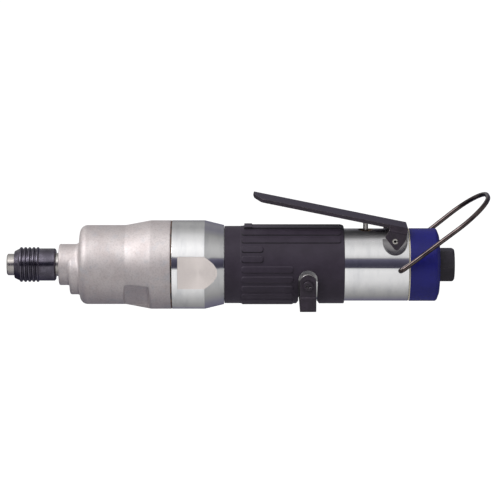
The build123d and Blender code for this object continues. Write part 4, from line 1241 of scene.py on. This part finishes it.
@dataclass
class Throttle(Assembly):
    """The throttle lever, its pin and the valve under it.

    Attributes:
        pin: The middle of the lever's pin, along X and Z.
        slope: How far the lever rises towards its tip, in degrees.
        top: Its top face above the pin.
        underside: Its underside above the pin.
        half_width: Half the arm's width.
        reach: From the pin to the tip.
        tip_slant: How far the tip is cut back on the viewer's side.
        ear_out: The ears' outer faces from the middle.
        ear_in: Their inner faces.
        ear_drop: How far the saddle's shoulders are below the top.
        front: How far before the pin the ears reach.
        bite: How far the saddle is cut back above that.
        rear: Where the lever ends behind the pin.
        pin_hole: The radius of the pin's hole.
        edge_width: The width of its broken edges.
        spring: The valve's spring.
    """

    pin: tuple[float, float] = (200.85 * MM, 14.55 * MM)
    slope: float = 11.6
    top: float = 7.52 * MM
    underside: float = 5.60 * MM
    half_width: float = 8.6 * MM
    reach: float = 75.8 * MM
    tip_slant: float = 4.4 * MM
    ear_out: float = 12.4 * MM
    ear_in: float = 10.8 * MM
    ear_drop: float = 2.3 * MM
    front: float = 5.6 * MM
    bite: float = 1.4 * MM
    rear: float = 5.4 * MM
    pin_hole: float = 1.45 * MM
    edge_width: float = 0.3 * MM
    spring: Spring = Spring(
        "throttle_spring", foot=(186.1 * MM, 0.0, -12.0 * MM), way=(0.0, 0.0, 1.0),
        length=12.75 * MM, radius=2.1 * MM, wire=0.7 * MM, turns=6,
    )

    finishes: dict[str, Finish] = field(default_factory=lambda: {
        "lever_pin": SPRING,
        "throttle_bush": BRONZE,
        "throttle_stem": BRIGHT,
        "valve_seal_ring": BLACK_RUBBER,
    })

    def _point(self, along: float, across: float, up: float) -> Vector:
        """A point of the lever, measured from its pin along the arm."""
        slope = math.radians(self.slope)
        x = self.pin[0] + along * math.cos(slope) + up * math.sin(slope)
        z = self.pin[1] - along * math.sin(slope) + up * math.cos(slope)
        return Vector((x, across, z))

    def _saddle(self) -> bmesh.types.BMesh:
        """Builds the folded saddle with its two ears."""
        sheet = self.top - self.underside
        low = -8.0 * MM
        outer = [
            (-self.ear_out, low), (-self.ear_out, self.top - self.ear_drop, 1.6 * MM),
            (-self.half_width, self.top), (self.half_width, self.top),
            (self.ear_out, self.top - self.ear_drop, 1.6 * MM), (self.ear_out, low),
        ]
        inner = [
            (self.ear_in, low), (self.ear_in, self.underside - self.ear_drop),
            (self.half_width, self.top - sheet), (-self.half_width, self.top - sheet),
            (-self.ear_in, self.underside - self.ear_drop), (-self.ear_in, low),
        ]
        return prism(rounded(outer + inner), -self.front, self.rear, lambda u, v, w: self._point(w, u, v))

    def _side(self) -> bmesh.types.BMesh:
        """Builds the solid that the saddle is trimmed to, seen from the side."""
        outline = [
            (self.bite - self.front, self.top + 1.0 * MM), (self.bite - self.front, 4.4 * MM, 0.8 * MM),
            (-self.front, 1.2 * MM, 1.2 * MM), (1.9 * MM, -5.2 * MM, 1.5 * MM),
            (4.6 * MM, -0.1 * MM, 1.5 * MM), (self.rear, 2.5 * MM), (self.rear, self.top + 1.0 * MM),
        ]
        return prism(rounded(outline), -THROUGH, THROUGH, lambda u, v, w: self._point(u, w, v))

    def _arm(self) -> bmesh.types.BMesh:
        """Builds the flat arm, cut slantwise at its tip."""
        outline = [
            (-self.reach, self.half_width, 0.8 * MM),
            (0.5 * MM, self.half_width), (0.5 * MM, -self.half_width),
            (self.tip_slant - self.reach, -self.half_width, 2.4 * MM),
            (0.16 * self.tip_slant - self.reach, 0.0, 9.0 * MM),
        ]
        return prism(rounded(outline), self.underside, self.top, self._point)

    def _hole(self) -> bmesh.types.BMesh:
        """Builds the solid that drills the ears for the pin."""
        round_ = [math.tau * step / 32 for step in range(32)]
        outline = [(self.pin_hole * math.cos(angle), self.pin_hole * math.sin(angle)) for angle in round_]
        return prism(outline, -THROUGH, THROUGH, lambda u, v, w: self._point(u, w, v))

    def build(self) -> None:
        """Makes the lever in place of the plain solid, and the valve's spring."""
        cuts = ("INTERSECT", self._side()), ("UNION", self._arm()), ("DIFFERENCE", self._hole())
        mesh = carved(self._saddle(), *cuts)
        lever = add_piece("lever", mesh, LEVER_BLACK, Body.LEVER)
        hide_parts("throttle_lever")
        self._break_edges(lever, self.edge_width)
        self.spring.fit(Body.HOUSING, Body.STEM)


@dataclass
class RearEnd(Assembly):
    """The exhaust cap with its silencer, and the air inlet with its pipe thread.

    Attributes:
        thread_start: Where the thread starts along the axis.
        thread_pitch: Its pitch.
        thread_turns: How many turns it has.
        thread_radius: The radius of its root, a little inside the bush.
        thread_height: How far it stands into the bore.
        thread_steps: Sides of one turn.
        thread_fade: Steps over which it rises at both ends.
    """

    thread_start: float = 219.4 * MM
    thread_pitch: float = 1.337 * MM
    thread_turns: int = 9
    thread_radius: float = 5.95 * MM
    thread_height: float = 0.75 * MM
    thread_steps: int = 40
    thread_fade: int = 12

    # The thread's section: how far along its pitch, and the share of its height
    THREAD_PROFILE = ((-0.46, 0.0), (-0.06, 1.0), (0.06, 1.0), (0.46, 0.0))

    finishes: dict[str, Finish] = field(default_factory=lambda: {
        "end_gasket": GASKET,
        "exhaust_cap": BLUE,
        "silencer": FELT,
        "inlet_bush": INLET_BLACK,
        "inlet_strainer": BRIGHT,
    })
    broken_edges: dict[str, float] = field(default_factory=lambda: {"inlet_bush": 0.15 * MM})

    def build(self) -> None:
        """Makes the pipe thread in the inlet's bore."""
        sections = []
        last = self.thread_turns * self.thread_steps
        for step in range(last + 1):
            angle = math.tau * step / self.thread_steps
            x = self.thread_start + self.thread_pitch * step / self.thread_steps
            fade = min(1.0, step / self.thread_fade, (last - step) / self.thread_fade)
            section = []
            for aside, height in self.THREAD_PROFILE:
                radius = self.thread_radius - height * fade * self.thread_height
                place = (x + aside * self.thread_pitch, radius * math.cos(angle), radius * math.sin(angle))
                section.append(place)
            sections.append(section)
        add_piece("inlet_thread", swept(sections), INLET_BLACK, Body.HOUSING)


@dataclass
class HangingBail(Assembly):
    """The wire bail that the tool hangs from."""

    finishes: dict[str, Finish] = field(default_factory=lambda: {"bail": BAIL_WIRE})


@dataclass
class Studio:
    """The floor, the light and the camera.

    Attributes:
        elevation: How far the camera looks down, in degrees.
        distance: From the camera to the middle of the picture.
        middle: The point on the axis under the middle of the picture.
        rise: How far above that point the picture's middle is.
        field_width: The width of the picture at the object.
        sensor: The camera's sensor width in millimetres.
        floor_drop: How far the floor is below the axis.
        floor_reach: The floor's half width.
        sky_top: The brightest level that the sky table may hold.
        fade_top: What a 1 in the two fade tables stands for.
        end_level: How bright the studio is beyond both ends of the tool.
        key_energy: The soft lamp's energy in watts.
        key_size: Its width and height.
        key_at: Where it hangs.
        key_aim: What it points at.
        dark_tint: The colour of the studio's dark parts.
    """

    elevation: float = 11.5
    distance: float = 1.36
    middle: float = 126.2 * MM
    rise: float = 7.54 * MM
    field_width: float = 260.0 * MM
    sensor: float = 36.0
    floor_drop: float = 0.14
    floor_reach: float = 3.0
    sky_top: float = 1.25
    fade_top: float = 1.6
    end_level: float = 0.36
    key_energy: float = 4.5
    key_size: tuple[float, float] = (0.7, 0.5)
    key_at: Point = (-0.52, -0.50, 0.80)
    key_aim: Point = (0.12, 0.0, 0.0)
    dark_tint: Colour = (0.88, 0.84, 1.25)

    # Angle round the axis from the viewer's side, over the top: how bright the studio is there
    SKY = (
        (-180.0, 0.10), (-147.0, 0.15), (-112.0, 0.27), (-88.0, 0.40), (-70.0, 0.55), (-54.0, 0.70),
        (-39.0, 0.82), (-12.0, 0.90), (-1.5, 0.86), (1.5, 0.13), (4.0, 0.06), (13.0, 0.07), (24.0, 0.12),
        (30.5, 0.20), (33.5, 1.06), (44.0, 1.18), (55.0, 1.22), (67.0, 1.12), (79.0, 0.95), (92.0, 0.80),
        (106.0, 0.57), (123.0, 0.43), (146.0, 0.42), (162.0, 0.34), (180.0, 0.20),
    )
    # How far a direction leans towards the rear: how much of the light from above is left there
    ABOVE = (
        (-0.5, 0.81), (-0.22, 0.81), (-0.03, 0.64), (0.05, 0.44), (0.3, 0.30), (0.5, 0.29),
    )
    # The same for the light from below
    BELOW = (
        (-0.5, 0.21), (-0.13, 0.25), (-0.06, 0.45), (-0.035, 0.85), (-0.01, 0.85), (0.035, 0.64),
        (0.2, 0.50), (0.5, 0.36),
    )

    def camera(self) -> None:
        """Places the camera at the photograph's angle."""
        tilt = math.radians(self.elevation)
        ahead = Vector((0.0, math.cos(tilt), -math.sin(tilt)))
        above = Vector((0.0, math.sin(tilt), math.cos(tilt)))
        data = bpy.data.cameras.new("camera")
        data.sensor_width = self.sensor
        data.lens = self.sensor * self.distance / self.field_width
        data.clip_start, data.clip_end = 0.05, 20.0
        camera = bpy.data.objects.new("camera", data)
        camera.location = Vector((self.middle, 0.0, 0.0)) + self.rise * above - self.distance * ahead
        camera.rotation_mode = "QUATERNION"
        camera.rotation_quaternion = ahead.to_track_quat("-Z", "Y")
        bpy.context.scene.collection.objects.link(camera)
        bpy.context.scene.camera = camera

    @staticmethod
    def _ramp(graph: Graph, at: Signal, levels: list[tuple[float, float]]) -> Signal:
        """Reads a grey level from a list of places and levels.

        Args:
            graph: The node tree to add to.
            at: The place, from 0 to 1.
            levels: Places and the level at each, both from 0 to 1.

        Returns:
            The level at that place.
        """
        stops = [(place, (level, level, level)) for place, level in levels]
        return graph.add("ShaderNodeValToRGB", {"stops": stops}, {"Fac": at}, "Color")

    def world(self) -> None:
        """Makes the studio's soft light: a white picture, and bands that metal shows."""
        world = bpy.data.worlds.new("studio")
        bpy.context.scene.world = world
        world.use_nodes = True
        graph = Graph(world.node_tree)
        way = graph.add("ShaderNodeTexCoord", {}, {}, "Generated")
        turn = way.math("ARCTAN2", way.part("Z"), 0.0 - way.part("Y"))
        bands = self._ramp(graph, turn * (0.5 / math.pi) + 0.5, [
            ((angle + 180.0) / 360.0, level / self.sky_top) for angle, level in self.SKY
        ])
        above, below = (
            self._ramp(graph, way.part("X") + 0.5, [(lean + 0.5, level) for lean, level in table])
            for table in (self.ABOVE, self.BELOW)
        )
        upper = turn.step(math.radians(29.0), math.radians(34.0))
        lower = turn.step(math.radians(2.0), math.radians(-2.0))
        fade = 1.0 + upper * (above * self.fade_top - 1.0) + lower * (below * self.fade_top - 1.0)
        bands = bands * fade
        ends = abs(way.part("X")).step(0.7, 0.95)
        bands = bands + ends * (self.end_level - bands)
        tint = graph.mix(bands.step(0.26, 0.08), (1.0, 1.0, 1.0), self.dark_tint)
        seen = graph.add("ShaderNodeLightPath", {}, {}, "Is Camera Ray")
        inputs = {"Color": tint.scaled(bands), "Strength": self.sky_top}
        light = graph.add("ShaderNodeBackground", {}, inputs)
        white = graph.add("ShaderNodeBackground", {}, {"Color": (1.0, 1.0, 1.0), "Strength": 1.0})
        both = graph.add("ShaderNodeMixShader", {}, {0: seen, 1: light, 2: white})
        graph.add("ShaderNodeOutputWorld", {}, {"Surface": both})

    def floor(self) -> None:
        """Lays the pale floor under the object."""
        mesh = bmesh.new()
        reach = self.floor_reach
        corners = [(-reach, -reach), (reach, -reach), (reach, reach), (-reach, reach)]
        mesh.faces.new([mesh.verts.new((x, y, -self.floor_drop)) for x, y in corners])
        data = bpy.data.meshes.new("floor")
        mesh.to_mesh(data)
        mesh.free()
        material = bpy.data.materials.new("pale_floor")
        material.use_nodes = True
        graph = Graph(material.node_tree)
        grain = graph.noise(graph.place(), 40.0)
        seen = graph.add("ShaderNodeLightPath", {}, {}, "Is Camera Ray")
        tone = graph.mix(grain, (0.80, 0.80, 0.80), (0.84, 0.84, 0.84))
        paper = graph.add("ShaderNodeBsdfDiffuse", {}, {"Color": tone})
        glow = graph.add("ShaderNodeEmission", {}, {"Color": (1.0, 1.0, 1.0), "Strength": 1.1})
        both = graph.add("ShaderNodeMixShader", {}, {0: seen * 0.95, 1: paper, 2: glow})
        graph.add("ShaderNodeOutputMaterial", {}, {"Surface": both})
        data.materials.append(material)
        floor = bpy.data.objects.new("floor", data)
        floor.visible_glossy = False
        bpy.context.scene.collection.objects.link(floor)

    def lamps(self) -> None:
        """Hangs one large soft lamp over the viewer's left shoulder."""
        data = bpy.data.lights.new("soft_key", "AREA")
        data.shape = "RECTANGLE"
        data.size, data.size_y = self.key_size
        data.energy = self.key_energy
        lamp = bpy.data.objects.new("soft_key", data)
        lamp.location = self.key_at
        aim = Vector(self.key_aim) - Vector(self.key_at)
        lamp.rotation_mode = "QUATERNION"
        lamp.rotation_quaternion = aim.to_track_quat("-Z", "Y")
        bpy.context.scene.collection.objects.link(lamp)

    def build(self) -> None:
        """Builds the whole studio."""
        bpy.context.scene.view_settings.view_transform = "Standard"
        self.camera()
        self.world()
        self.floor()
        self.lamps()


def main() -> None:
    """Builds and dresses the tool, sub-assembly by sub-assembly, and its studio."""
    logging.basicConfig(level=logging.INFO, format="%(name)s: %(message)s")
    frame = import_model()
    Studio().build()
    for kind in (Chuck, FrontEnd, PulseUnit, Motor, Grip, ReverseValve, Throttle, RearEnd, HangingBail):
        assembly = kind(frame)
        assembly.build()
        assembly.dress()


if __name__ == "__main__":
    main()
